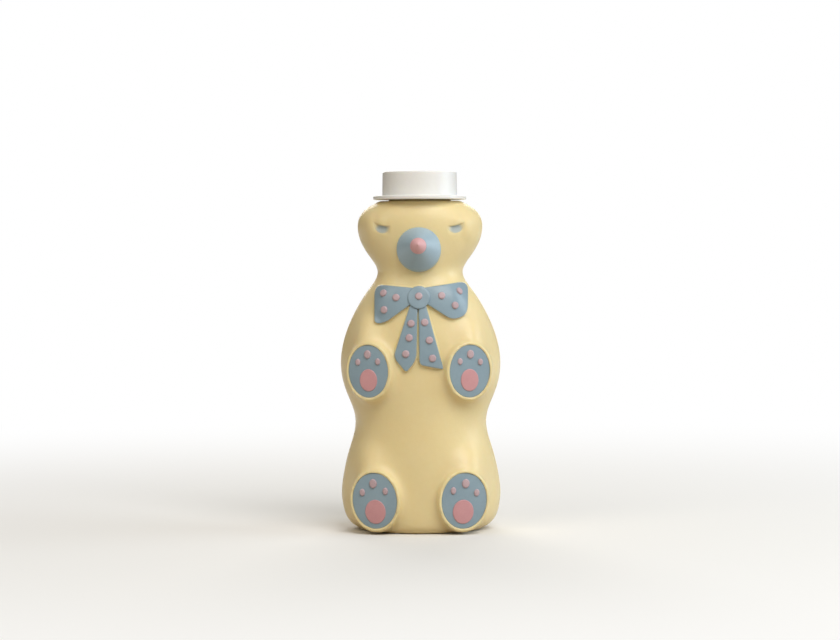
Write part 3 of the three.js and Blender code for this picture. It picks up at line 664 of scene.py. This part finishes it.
def thread(name, root, crest, start, turns, width):
    """A wedge from a root radius to a crest radius, wound up with the lead."""
    piece = add_primitive(bpy.ops.mesh.primitive_plane_add, name, size=MM)
    half, tip = width / 2, width / 5
    corners = np.array([(root, 0, -half), (crest, 0, -tip), (root, 0, half), (crest, 0, tip)])
    set_points(piece, corners + np.array([0, 0, start]))
    edit(piece)
    bpy.ops.mesh.delete(type="ONLY_FACE")
    leave_edit()
    steps = int(STEPS_A_TURN * turns)
    apply_modifier(piece, "SCREW", angle=2 * math.pi * turns, screw_offset=LEAD * turns * MM, axis="Z",
                   steps=steps, render_steps=steps)
    points = points_of(piece)
    along = (points[:, 2] - start) / (LEAD * turns)
    fade = np.clip(np.minimum(along, 1 - along) * RUN_OUT + RUN_OUT_LEAST, 0, 1)
    radius = np.hypot(points[:, 0], points[:, 1])
    points[:, :2] *= ((root + (radius - root) * fade) / radius)[:, None]
    set_points(piece, points)
    edit(piece)
    bpy.ops.mesh.select_all(action="DESELECT")
    bpy.ops.mesh.select_non_manifold()
    bpy.ops.mesh.fill()
    leave_edit()
    recalculate(piece)
    return piece


# %% Neck
NECK_RADIUS, NECK_BORE, NECK_TOP = 16, 13.5, 186.0
NECK_SUNK, NECK_FLARE = 166, 17.4  # the height in the head where it starts, and its radius there
THREAD_ROOT, THREAD_HEIGHT = 0.3, 1.1  # below and above the neck's surface
neck = turned_piece("neck", [
    (0, NECK_SUNK, 0), (NECK_FLARE, NECK_SUNK, 0), (NECK_FLARE, 174.4, 0), (NECK_RADIUS, 174.9, 0.7),
    *((NECK_RADIUS, z, 0) for z in range(176, 186)), (NECK_RADIUS, NECK_TOP, 0.5), (0, NECK_TOP, 0),
])
neck_thread = thread("neck_thread", NECK_RADIUS - THREAD_ROOT, NECK_RADIUS + THREAD_HEIGHT, start=177.4,
                     turns=1.25, width=1.9)
cut_or_join(neck, neck_thread, "UNION")
cut_or_join(trunk, neck, "UNION")
print("neck joined:", len(trunk.data.polygons), "faces")

# %% [markdown]
# ## The chamber
#
# The bottle is hollow. A second, coarser cylinder is drawn to the same sections, a wall's thickness further
# in, and cut out of the shell, and a plain bore opens it through the neck. Solidify could give the wall
# too, but nobody looks far inside, so this surface may be simple.

# %% Chamber
CHAMBER_POINTS, CHAMBER_RINGS = 48, 40
WALL, FACET_ROOM = 1.5, 0.6  # and room for the flat faces of the coarse chamber
CHAMBER_WIDEST, CHAMBER_TAPER, TAPER_TOP = 40, 1.1, 12  # half width, and how it narrows towards the base
chamber = drawn_cylinder("chamber", CHAMBER_POINTS, CHAMBER_RINGS)
unit = points_of(chamber)
low, high = PUSH_UP + WALL, NECK_FOOT - WALL
height = low + unit[:, 2] * (high - low)
angle = np.arctan2(unit[:, 0], -unit[:, 1])
wide, deep = (np.minimum(size(height), size(height + 1)) - WALL - FACET_ROOM
              for size in (half_width, half_depth))
wide = np.minimum(wide, CHAMBER_WIDEST - CHAMBER_TAPER * np.maximum(TAPER_TOP - height, 0))
y = set_back(height) - deep * np.cos(angle)
set_points(chamber, np.stack([wide * np.sin(angle), y, height], axis=1))
cut_or_join(trunk, chamber, "DIFFERENCE")
bore = oval_block("bore", NECK_BORE, NECK_BORE, 165, 190, 64)
cut_or_join(trunk, bore, "DIFFERENCE")
print("hollow shell:", len(trunk.data.polygons), "faces")

# %% [markdown]
# ## Sole pockets
#
# Each painted sole lies in a pocket with a rounded lip. The remesh rounded the first hollows too much for a
# sole to fit, so they are cut clean again, a little inside their soft lip. A plain cutter would leave a
# sharp edge, so its wall opens like a trumpet.

# %% Sole pockets
LIP_ROUND = 0.7
LIP_BEND = 0.1 - LIP_ROUND  # height at which the wall starts to open
POCKET_TOP, POCKET_ROOM = 6, 0.06
LIP_SHARES = np.array([0, 0, 0.3, 0.55, 0.75, 0.9, 1, 1])  # of the lip's height, ring by ring


def flared_pocket(name, wide, tall):
    """An oval cutter whose wall opens like a trumpet, so that it leaves a rounded lip."""
    bottom = -SOLE_RECESS - SOLE_THICKNESS
    last = len(LIP_SHARES) - 1
    piece = oval_block(name, wide, tall, bottom, POCKET_TOP)
    edit_edges(piece, lambda a, b: abs(a[2] - b[2]) > 1)
    bpy.ops.mesh.subdivide_edgering(number_cuts=last - 1, interpolation="LINEAR")
    leave_edit()
    points = points_of(piece)
    ring = np.rint((points[:, 2] - bottom) / (POCKET_TOP - bottom) * last).astype(int)
    share = LIP_SHARES[ring]
    grow = LIP_ROUND * (1 - np.sqrt(1 - share**2))
    points[:, :2] *= 1 + grow[:, None] / np.hypot(points[:, 0], points[:, 1]).clip(1)[:, None]
    level = np.where(ring == last, POCKET_TOP, LIP_BEND + LIP_ROUND * share)
    points[:, 2] = np.where(ring == 0, bottom, level)
    set_points(piece, points)
    return piece


for name, (limb, side) in LIMBS.items():
    pocket = flared_pocket(name + "_pocket", limb["wide"] + POCKET_ROOM, limb["tall"] + POCKET_ROOM)
    put(pocket, limb_place(limb, side))
    cut_or_join(trunk, pocket, "DIFFERENCE")
print("pockets cut:", list(LIMBS))

# %% [markdown]
# ## The bow's bed
#
# The bow stands on a low bed with a soft edge, which shows as a thin rim of butter yellow round the blue.
# Each bed is the ribbon's own outline, grown a little, drawn as a flat plate, extruded, softened and bent
# onto the chest, then joined to the shell. Shrinkwrap could bend it too, but the formula of the front is
# exact.

# %% Plates bent onto the front
def plate(name, outline, thickness):
    """An upright plate over an outline in X and Z, from y = 0 forward by its thickness."""
    piece = add_primitive(bpy.ops.mesh.primitive_circle_add, name, vertices=len(outline), radius=MM,
                          fill_type="NGON")
    set_points(piece, np.stack([outline[:, 0], np.zeros(len(outline)), outline[:, 1]], axis=1))
    edit(piece, "FACE")
    bpy.ops.mesh.extrude_region_move(TRANSFORM_OT_translate={"value": (0, -thickness * MM, 0)})
    leave_edit()
    recalculate(piece)
    return piece


def soften(piece, voxel, rounds):
    """Remeshes a piece finely and smooths it, which rounds all its edges."""
    remesh(piece, voxel * (1))
    smooth(piece, rounds)


def bend_onto_front(piece, low):
    """Moves a plate's points so that its back lies a distance above the front."""
    points = points_of(piece)
    points[:, 1] -= front(points[:, 0], points[:, 2]) + low
    set_points(piece, points)


# %% Outlines of the bow
BOW_Z = 123.9
KNOT_RADIUS, KNOT_POINTS = 5.9, 48
RIBBONS = {  # corners from the bow's middle, each with its rounding
    "left_bow_loop": [
        (-2.5, 4.9, 0.6), (-23.6, 6.9, 5.5), (-23.4, -14, 3.2), (-17.2, -12.8, 2.6), (-2.5, -2.2, 0.6),
    ],
    "right_bow_loop": [
        (2.5, -2.2, 0.6), (17.4, -11.9, 3.6), (25.4, -9.4, 4.6), (25.6, 8.4, 5.5), (2.5, 5, 0.6),
    ],
    "left_bow_tail": [
        (-4.4, -3.5, 0.4), (-13.3, -31, 3), (-6.7, -39, 1.6), (-1.3, -32.5, 4), (-0.6, -3.5, 0.4),
    ],
    "right_bow_tail": [(-0.1, -3.5, 0.4), (0.3, -35, 2.2), (12.9, -37.5, 1.2), (3.6, -3.5, 0.4)],
}
around = np.linspace(0, 2 * math.pi, KNOT_POINTS, endpoint=False)
OUTLINES = {name: rounded_outline(corners, BOW_Z) for name, corners in RIBBONS.items()}
OUTLINES["bow_knot"] = np.stack([KNOT_RADIUS * np.cos(around), BOW_Z + KNOT_RADIUS * np.sin(around)], axis=1)


def grown(outline, by):
    """The outline with every edge moved out by the same distance, measured along the bear's front."""
    coming = outline - np.roll(outline, 1, axis=0)
    going = np.roll(outline, -1, axis=0) - outline
    coming, going = (v / np.maximum(np.linalg.norm(v, axis=1), 1e-9)[:, None] for v in (coming, going))
    area = np.sum(outline[:, 0] * np.roll(outline[:, 1], -1) - outline[:, 1] * np.roll(outline[:, 0], -1))
    both = (coming + going) * np.sign(area)
    share = by / np.maximum(1 + np.sum(coming * going, axis=1), 0.5)
    offset = np.stack([both[:, 1], -both[:, 0]], axis=1) * share[:, None]
    drop = front(*outline.T) - front(*(outline + offset).T)
    return outline + offset * (by / np.hypot(by, drop))[:, None]


print("outlines:", {name: len(outline) for name, outline in OUTLINES.items()})

# %% Bed
BED_RELIEF, BED_BORDER, BED_ROOT = 0.55, 0.7, 0.9
BED_VOXEL, BED_ROUNDS = 0.4, 4
bed, *others = (plate(name + "_bed", grown(outline, BED_BORDER), BED_RELIEF + BED_ROOT)
                for name, outline in OUTLINES.items())
join_into(bed, others)
soften(bed, BED_VOXEL, BED_ROUNDS)
bend_onto_front(bed, -BED_ROOT)
cut_or_join(trunk, bed, "UNION")
print("shell with the bed:", len(trunk.data.polygons), "faces")

# %% [markdown]
# ## Plastic and paint
#
# Every finish here is a satin plastic or a thin paint on it. One recipe serves them all: a base colour that
# drifts a little from place to place, a roughness that varies with it, and a fine orange-peel bump. The
# blown plastic also has broad, shallow waves. Pictures could give all this too, but noise on Object
# coordinates has no seams, and its grain has its real size.

# %% Satin finish
SPECKLE_FINENESS, SPECKLE_SHARE = 14, 0.35  # against the broad drift
TINT_LOW, TINT_HIGH, GLOSS_LOW, GLOSS_HIGH = 0.45, 0.9, 0.4, 0.95  # ends of the drift that they answer to
ROUGHER, GLOSSIER = 0.08, 0.06
PEEL_HEIGHT, PEEL_STRENGTH = 0.25 * MM, 0.12
WAVE_COUNT = 55  # per metre
GLOW_DEPTH, GLOW_REACH = 3 * MM, (1.0, 0.7, 0.35)
COAT_ROUGHNESS = 0.25


def satin(name, colour, deeper, rough, grain, drift, coat=0.0, glow=0.0, waves=0.0):
    """colour and deeper end the drift, grain and drift are counts per metre, waves is a height in mm."""
    material = bpy.data.materials.new(name)
    material.use_nodes = True
    tree = material.node_tree
    shader = tree.nodes["Principled BSDF"]
    place = add_node(tree, "TexCoord").outputs["Object"]

    def noise(scale, detail, roughness):
        return add_node(tree, "TexNoise", Vector=place, Scale=scale, Detail=detail,
                        Roughness=roughness).outputs["Fac"]

    patches, speckle = noise(drift, 3, 0.5), noise(drift * SPECKLE_FINENESS, 2, 0.6)
    both = add_node(tree, "Math", {"operation": "MULTIPLY_ADD"}, n0=speckle, n1=SPECKLE_SHARE,
                    n2=patches).outputs["Value"]
    ramp = add_node(tree, "MapRange", Value=both, From_Min=TINT_LOW, From_Max=TINT_HIGH)
    tint = add_node(tree, "Mix", {"data_type": "RGBA"}, n0=ramp.outputs["Result"], n6=(*deeper, 1),
                    n7=(*colour, 1))
    tree.links.new(tint.outputs[2], shader.inputs["Base Color"])
    gloss = add_node(tree, "MapRange", Value=both, From_Min=GLOSS_LOW, From_Max=GLOSS_HIGH,
                     To_Min=rough + ROUGHER, To_Max=rough - GLOSSIER)
    tree.links.new(gloss.outputs["Result"], shader.inputs["Roughness"])
    bump = add_node(tree, "Bump", Height=noise(grain, 2, 0.55), Strength=PEEL_STRENGTH, Distance=PEEL_HEIGHT)
    if waves:
        broad = add_node(tree, "Bump", Height=noise(WAVE_COUNT, 1, 0.4), Strength=1, Distance=waves * MM)
        tree.links.new(broad.outputs["Normal"], bump.inputs["Normal"])
    tree.links.new(bump.outputs["Normal"], shader.inputs["Normal"])
    values = {"IOR": 1.5, "Coat Weight": coat, "Coat Roughness": COAT_ROUGHNESS}
    if glow:
        values |= {"Subsurface Weight": glow, "Subsurface Radius": GLOW_REACH,
                   "Subsurface Scale": GLOW_DEPTH}
    for key, value in values.items():
        shader.inputs[key].default_value = value
    return material


# %% Finishes
BUTTER = satin("butter_plastic", (0.90, 0.748, 0.422), (0.86, 0.70, 0.365), 0.38, 900, 26, glow=0.25,
               waves=0.35)
BLUE = satin("blue_paint", (0.29, 0.40, 0.475), (0.25, 0.35, 0.425), 0.40, 1400, 60, coat=0.25)
# The muzzle's blue is lighter than the other blue paint: painted sheen, standing in for the light on the
# cone's lit side.
MUZZLE_BLUE_WITH_PAINTED_SHEEN = satin("muzzle_paint_with_painted_sheen", (0.37, 0.50, 0.59), (0.33, 0.45, 0.54), 0.42, 1400, 60, coat=0.35)
PINK = satin("pink_paint", (0.67, 0.35, 0.37), (0.60, 0.295, 0.315), 0.46, 1400, 90)
NOSE_PINK = satin("nose_paint", (0.76, 0.45, 0.47), (0.69, 0.39, 0.41), 0.42, 1400, 90)
# Spots and toes are paler than the palms: partly a paler pink paint, and partly painted reflection on their
# small domes.
PALE_PINK_WITH_PAINTED_REFLECTION = satin("pale_pink_paint_with_painted_reflection", (0.58, 0.43, 0.465), (0.51, 0.37, 0.405), 0.46, 1400, 90)
WHITE = satin("white_plastic", (0.89, 0.885, 0.865), (0.85, 0.845, 0.825), 0.37, 700, 30, coat=0.1, glow=0.1)
MILKY = satin("milky_plastic", (0.83, 0.82, 0.76), (0.76, 0.745, 0.68), 0.42, 900, 40, glow=0.15)
FOAM = satin("seal_foam", (0.76, 0.73, 0.64), (0.66, 0.62, 0.53), 0.8, 2600, 120)
print("plastics:", [finish.name for finish in (BUTTER, WHITE, MILKY, FOAM)], "and five paints")

# %% [markdown]
# ## The bow
#
# Two loops, two tails and a knot, raised like thick ribbon. The knot laps over the others, and pink spots
# stand on them. The ribbons are plates as the bed is, so that they follow it. One spot is modelled, a low
# disc with a rounded rim, and copied to each place, turned to face the way the chest faces there.

# %% Ribbons
RIBBON_LOW, RIBBON_HIGH, KNOT_HIGH = 0.3, 2.0, 2.9
RIBBON_VOXEL, RIBBON_ROUNDS = 0.38, 4


def finish_piece(piece, node, material, body="bottle", angle=35):
    """Smooth shading, a material, the CAD node that it stands for hidden, and the piece hung on its body."""
    pick(piece)
    bpy.ops.object.shade_smooth_by_angle(angle=math.radians(angle))
    piece.data.materials.clear()
    piece.data.materials.append(material)
    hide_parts(node)
    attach(piece, body)


def top_of(name):
    return KNOT_HIGH if name == "bow_knot" else RIBBON_HIGH


for name, outline in OUTLINES.items():
    ribbon = plate(name + "_ribbon", outline, top_of(name) - RIBBON_LOW)
    soften(ribbon, RIBBON_VOXEL, RIBBON_ROUNDS)
    bend_onto_front(ribbon, RIBBON_LOW)
    finish_piece(ribbon, name, BLUE)
print("ribbons:", list(OUTLINES))

# %% Spots
SPOTS = {  # places from the bow's middle
    "left_bow_loop": [(-18.6, 2.3), (-11.9, 0), (-18.2, -6.4)],
    "right_bow_loop": [(11.9, 0.9), (21.1, 3.1), (18.9, -4.2)],
    "left_bow_tail": [(-4, -13.5), (-5, -20.9), (-6.8, -29.3)],
    "right_bow_tail": [(3.1, -12.9), (5.5, -22.2), (7.1, -31.6)],
    "bow_knot": [(0, 0.7)],
}
SPOT_RADIUS, SPOT_HEIGHT, SPOT_ROUND = 1.95, 0.95, 0.9
PAD_ROOT = 0.6  # how deep spots and pads are sunk
spot_model = oval_block("spot_model", SPOT_RADIUS, SPOT_RADIUS, -PAD_ROOT, SPOT_HEIGHT, 40)
bevel_level(spot_model, SPOT_HEIGHT, SPOT_ROUND, 7)


def facing_front(x, z, lift):
    """The frame on the front at a place, Z along the surface normal."""
    step = 0.2
    normal = Vector((float(front(x - step, z) - front(x + step, z)) / (2 * step), -1,
                     float(front(x, z - step) - front(x, z + step)) / (2 * step))).normalized()
    turn = normal.to_track_quat("Z", "Y").to_matrix().to_4x4()
    return Matrix.Translation((x, -float(front(x, z)) - lift, z)) @ turn


for name, places in SPOTS.items():
    for i, (x, z) in enumerate(places, 1):
        spot = copy_of(spot_model, f"{name}_spot_{i}")
        put(spot, facing_front(x, BOW_Z + z, top_of(name)))
        # the spots' pale pink is partly painted reflection
        finish_piece(spot, f"{name}_dot_{i}", PALE_PINK_WITH_PAINTED_REFLECTION)
bpy.data.objects.remove(spot_model)
print("spots:", sum(len(places) for places in SPOTS.values()))

# %% [markdown]
# ## Soles and pads
#
# Each sole is an oval plate with a rounded edge, lying in its pocket just below the lip. A large pad and
# three small ones stand on it, each a low disc with a bevelled rim. A scaled copy of one pad would have a
# squeezed bevel, so every pad is made at its own size by one function.

# %% Soles and pads
PADS = {  # place across and up the sole, half width, half height
    "hand": {"palm": (0, -4.7, 4.8, 5.8), "toe_1": (-5.5, 4.9, 1.35, 1.75), "toe_2": (0, 8.8, 1.9, 2.25),
             "toe_3": (5.5, 4.9, 1.35, 1.75)},
    "foot": {"palm": (-0.1, -5.8, 5.6, 6.3), "toe_1": (-6.3, 4.8, 1.45, 1.9), "toe_2": (0, 9, 2.05, 2.4),
             "toe_3": (6.3, 4.6, 1.45, 1.9)},
}
TOE_PROUD, PALM_PROUD = 0.85, 0.45
PAD_ROUND, SOLE_ROUND = 0.75, 0.3


def pad_piece(name, wide, tall, proud):
    pad = oval_block(name, wide, tall, -PAD_ROOT, proud, 48)
    bevel_level(pad, proud, min(PAD_ROUND, proud), 5)
    return pad


for name, (limb, side) in LIMBS.items():
    sole = oval_block(name + "_sole_inlay", limb["wide"], limb["tall"], -SOLE_RECESS - SOLE_THICKNESS,
                      -SOLE_RECESS)
    bevel_level(sole, -SOLE_RECESS, SOLE_ROUND, 3)
    put(sole, limb_place(limb, side))
    finish_piece(sole, name + "_sole", BLUE)
    for pad_name, (x, y, wide, tall) in PADS[name.split("_")[1]].items():
        # the toes' pale pink is partly painted reflection, and the palms keep the plain pink
        proud, paint = (PALM_PROUD, PINK) if pad_name == "palm" else (TOE_PROUD, PALE_PINK_WITH_PAINTED_REFLECTION)
        pad = pad_piece(f"{name}_{pad_name}_pad", wide, tall, proud)
        put(pad, limb_place(limb, side) @ Matrix.Translation((x, y, -SOLE_RECESS)))
        finish_piece(pad, f"{name}_{pad_name}", paint)
print("soles with pads:", list(LIMBS))

# %% [markdown]
# ## Muzzle and nose
#
# The muzzle is a blunt cone that points forward and a little up, and the nose is its pink end with a small
# peak. A cone primitive has no rounded foot, so both are turned on Z and then laid along the bear's line of
# sight.

# %% Muzzle and nose
MUZZLE_RADIUS, MUZZLE_Z, MUZZLE_TIP = 11.6, 149.2, 34.4
MUZZLE_SUNK = 3  # how deep its foot goes into the face
MUZZLE_LIFT = 0.18  # rise of the cone's axis along its length
NOSE_RADIUS, NOSE_LENGTH = 4.3, 3.8
cone_foot = float(front(0.0, MUZZLE_Z)) - MUZZLE_SUNK
cone_end = MUZZLE_TIP - NOSE_LENGTH
FORWARD = Matrix.Translation((0, 0, MUZZLE_Z)) @ Matrix.Rotation(math.pi / 2, 4, "X")


def lay_forward(piece):
    """Turns a piece from Z to the front and lets its axis rise a little."""
    put(piece, FORWARD)
    points = points_of(piece)
    points[:, 2] += MUZZLE_LIFT * (-points[:, 1] - cone_foot - MUZZLE_SUNK)
    set_points(piece, points)


cone = turned_piece("muzzle_cone", [
    (0, cone_foot, 0), (MUZZLE_RADIUS, cone_foot, 0), (MUZZLE_RADIUS, cone_foot + 2.9, 0.9),
    (NOSE_RADIUS + 0.1, cone_end, 0), (0, cone_end, 0),
])
lay_forward(cone)
# the muzzle takes the lighter blue, which is painted sheen
finish_piece(cone, "muzzle", MUZZLE_BLUE_WITH_PAINTED_SHEEN)

tip = turned_piece("nose_tip", [
    (0, cone_end - 1, 0), (NOSE_RADIUS - 0.05, cone_end - 1, 0), (NOSE_RADIUS - 0.05, cone_end + 0.2, 0.2),
    (2.4, cone_end + 2.4, 1.4), (0.7, cone_end + 3.4, 0.5), (0.35, cone_end + 3.7, 0.15),
    (0, cone_end + 3.7, 0),
], 64)
lay_forward(tip)
finish_piece(tip, "nose", NOSE_PINK, angle=60)
print("muzzle and nose end at, mm:", cone_end, MUZZLE_TIP)

# %% [markdown]
# ## Eyes
#
# Each eye is a wash of thin paint under its lid, without a sharp border. It could be painted on the shell,
# but the eyes are parts of their own in the frame, so each is a very thin plate, laid on the dented skin by
# casting a ray back at each of its points. Its material is the shell's, with the paint fading out towards
# the plate's edge.

# %% Eye paint
EYE_PAINT = (0.45, 0.50, 0.47, 1)
WASH_CENTRE = (EYE["x"] * MM, 0, (EYE["z"] - 2.2) * MM)
WASH_SIZE = (4.4 * MM, 1, 3.3 * MM)
WASH_FULL = 0.42  # share of that size within which the paint is full


def wash_over(material, paint, centre, size):
    """Lays a thin paint over a material round a place, alike on both sides of the middle."""
    tree = material.node_tree
    base = tree.nodes["Principled BSDF"].inputs["Base Color"]
    place = add_node(tree, "TexCoord").outputs["Object"]
    folded = add_node(tree, "VectorMath", {"operation": "ABSOLUTE"}, n0=place)
    offset = add_node(tree, "VectorMath", {"operation": "SUBTRACT"}, n0=folded.outputs["Vector"], n1=centre)
    scaled = add_node(tree, "VectorMath", {"operation": "DIVIDE"}, n0=offset.outputs["Vector"], n1=size)
    far = add_node(tree, "VectorMath", {"operation": "LENGTH"}, n0=scaled.outputs["Vector"])
    bare = add_node(tree, "MapRange", {"interpolation_type": "SMOOTHSTEP"},
                    Value=far.outputs["Value"], From_Min=WASH_FULL, From_Max=1)
    mixed = add_node(tree, "Mix", {"data_type": "RGBA"}, n0=bare.outputs["Result"], n6=paint,
                     n7=base.links[0].from_socket)
    tree.links.new(mixed.outputs[2], base)


EYE_WASH = BUTTER.copy()
EYE_WASH.name = "eye_wash"
wash_over(EYE_WASH, EYE_PAINT, WASH_CENTRE, WASH_SIZE)
print("eye paint:", EYE_WASH.name)

# %% Eyes
EYE_PLATE, EYE_PROUD, EYE_BORDER = 0.4, 0.03, 0.5  # thickness, height above the skin, bare border
EYE_VOXEL = 0.14
IN_FRONT = -60  # where the rays start


def eye_outline(side, grow):
    """The lid line, which sags in the middle and rises outwards, and a drooping curve under it."""
    x, z, wide = EYE["x"], EYE["z"], EYE["wide"] + grow
    inner, outer = np.array((x - wide, z - EYE["rise"])), np.array((x + wide, z + EYE["rise"]))
    lid = curve_points(outer, np.array((x, z - EYE["sag"] + grow)), inner, 12)
    t = np.linspace(0, 1, 16)[1:-1, None]
    low_in, low_out = (np.array((spot[0], z - EYE["droop"] - grow)) for spot in (inner, outer))
    droop = (1 - t)**3 * inner + 3 * t * (1 - t)**2 * low_in + 3 * t**2 * (1 - t) * low_out + t**3 * outer
    return np.concatenate([lid, droop]) * np.array((side, 1))


bpy.context.view_layer.update()
for name, side in (("left_eye", -1), ("right_eye", 1)):
    inlay = plate(name + "_inlay", eye_outline(side, EYE_BORDER), EYE_PLATE)
    remesh(inlay, EYE_VOXEL)
    points = points_of(inlay)
    for point in points:
        found, skin, _, _ = trunk.ray_cast(Vector((point[0], IN_FRONT, point[2])) * MM, (0, 1, 0))
        point[1] += skin.y / MM + EYE_PLATE - EYE_PROUD
    set_points(inlay, points)
    finish_piece(inlay, name, EYE_WASH)
print("eyes laid on the skin:", found)

# %% [markdown]
# ## Closure
#
# The hat is the screw cap: a crown and a thin brim, turned, with a thread inside that lies half a lead
# above the neck's. A foam disc in its top seals the sifter, which is a flanged plug with holes in its deck.
# All three are round, so they are turned, and the holes are cut by one thin cylinder after the other.

# %% Hat
CAP_BORE, CAP_BOTTOM, CAP_INSIDE, CAP_TOP = 18.1, 175.2, 188.4, 190.0
CROWN, CROWN_DRAFT, BRIM, BRIM_THICKNESS = 19.9, 0.25, 24.7, 2
brim_top = CAP_BOTTOM + BRIM_THICKNESS
hat = turned_piece("hat_moulding", [
    (0, CAP_INSIDE, 0), (CAP_BORE, CAP_INSIDE, 0.3), (CAP_BORE, CAP_BOTTOM, 0.3), (BRIM, CAP_BOTTOM, 0.7),
    (BRIM, brim_top, 0.7), (CROWN, brim_top, 0.6), (CROWN - CROWN_DRAFT, CAP_TOP, 0.8),
    (CROWN - 1.4, CAP_TOP, 0), (0, CAP_TOP, 0),
], 128)
hat_thread = thread("hat_thread", CAP_BORE + THREAD_ROOT, CAP_BORE - 1.3, start=179.9, turns=1.0, width=1.7)
cut_or_join(hat, hat_thread, "UNION")
finish_piece(hat, "hat_cap", WHITE, "hat")
print("hat:", len(hat.data.polygons), "faces")

# %% Seal and sifter
SEAL_RADIUS, SEAL_BOTTOM, SEAL_TOP = 17.8, 187.3, 188.3
PLUG_BORE, PLUG_RADIUS, FLANGE_RADIUS = 11.9, 13.2, 15.4
PLUG_BOTTOM, DECK_BOTTOM, DECK_TOP = 180.4, 182.6, 183.8
FLANGE_BOTTOM, FLANGE_TOP = 186.1, 187.2
HOLE_RADIUS = 1.1
HOLE_RINGS = ((1, 0), (6, 4.2), (10, 8.4))  # holes in a ring, and its radius
seal = turned_piece("seal_pad", [
    (0, SEAL_BOTTOM, 0), (SEAL_RADIUS, SEAL_BOTTOM, 0.2), (SEAL_RADIUS, SEAL_TOP, 0.2), (0, SEAL_TOP, 0),
])
finish_piece(seal, "seal_disc", FOAM, "seal")

sifter = turned_piece("sifter_moulding", [
    (0, DECK_BOTTOM, 0), (PLUG_BORE, DECK_BOTTOM, 0), (PLUG_BORE, PLUG_BOTTOM, 0.2),
    (PLUG_RADIUS, PLUG_BOTTOM, 0.3), (PLUG_RADIUS, FLANGE_BOTTOM, 0), (FLANGE_RADIUS, FLANGE_BOTTOM, 0.2),
    (FLANGE_RADIUS, FLANGE_TOP, 0.2), (PLUG_BORE, FLANGE_TOP, 0.3), (PLUG_BORE, DECK_TOP, 0),
    (0, DECK_TOP, 0),
])
for count, ring in HOLE_RINGS:
    for i in range(count):
        turn = 2 * math.pi * i / count
        hole = oval_block("hole", HOLE_RADIUS, HOLE_RADIUS, 180, 186, 24)
        put(hole, Matrix.Translation((ring * math.cos(turn), ring * math.sin(turn), 0)))
        cut_or_join(sifter, hole, "DIFFERENCE")
finish_piece(sifter, "sifter_plug", MILKY)
print("sifter holes:", sum(count for count, _ in HOLE_RINGS))

# %% [markdown]
# ## Finish
#
# The shell gets its material last, after all its cuts, and the slivers that they left are dissolved,
# because they would show as dark marks under smooth shading.

# %% Finish
SLIVER = 1e-5
edit(trunk)
bpy.ops.mesh.dissolve_degenerate(threshold=SLIVER)
leave_edit()
finish_piece(trunk, "bottle_shell", BUTTER)
print("shell triangles:", sum(len(face.vertices) - 2 for face in trunk.data.polygons))
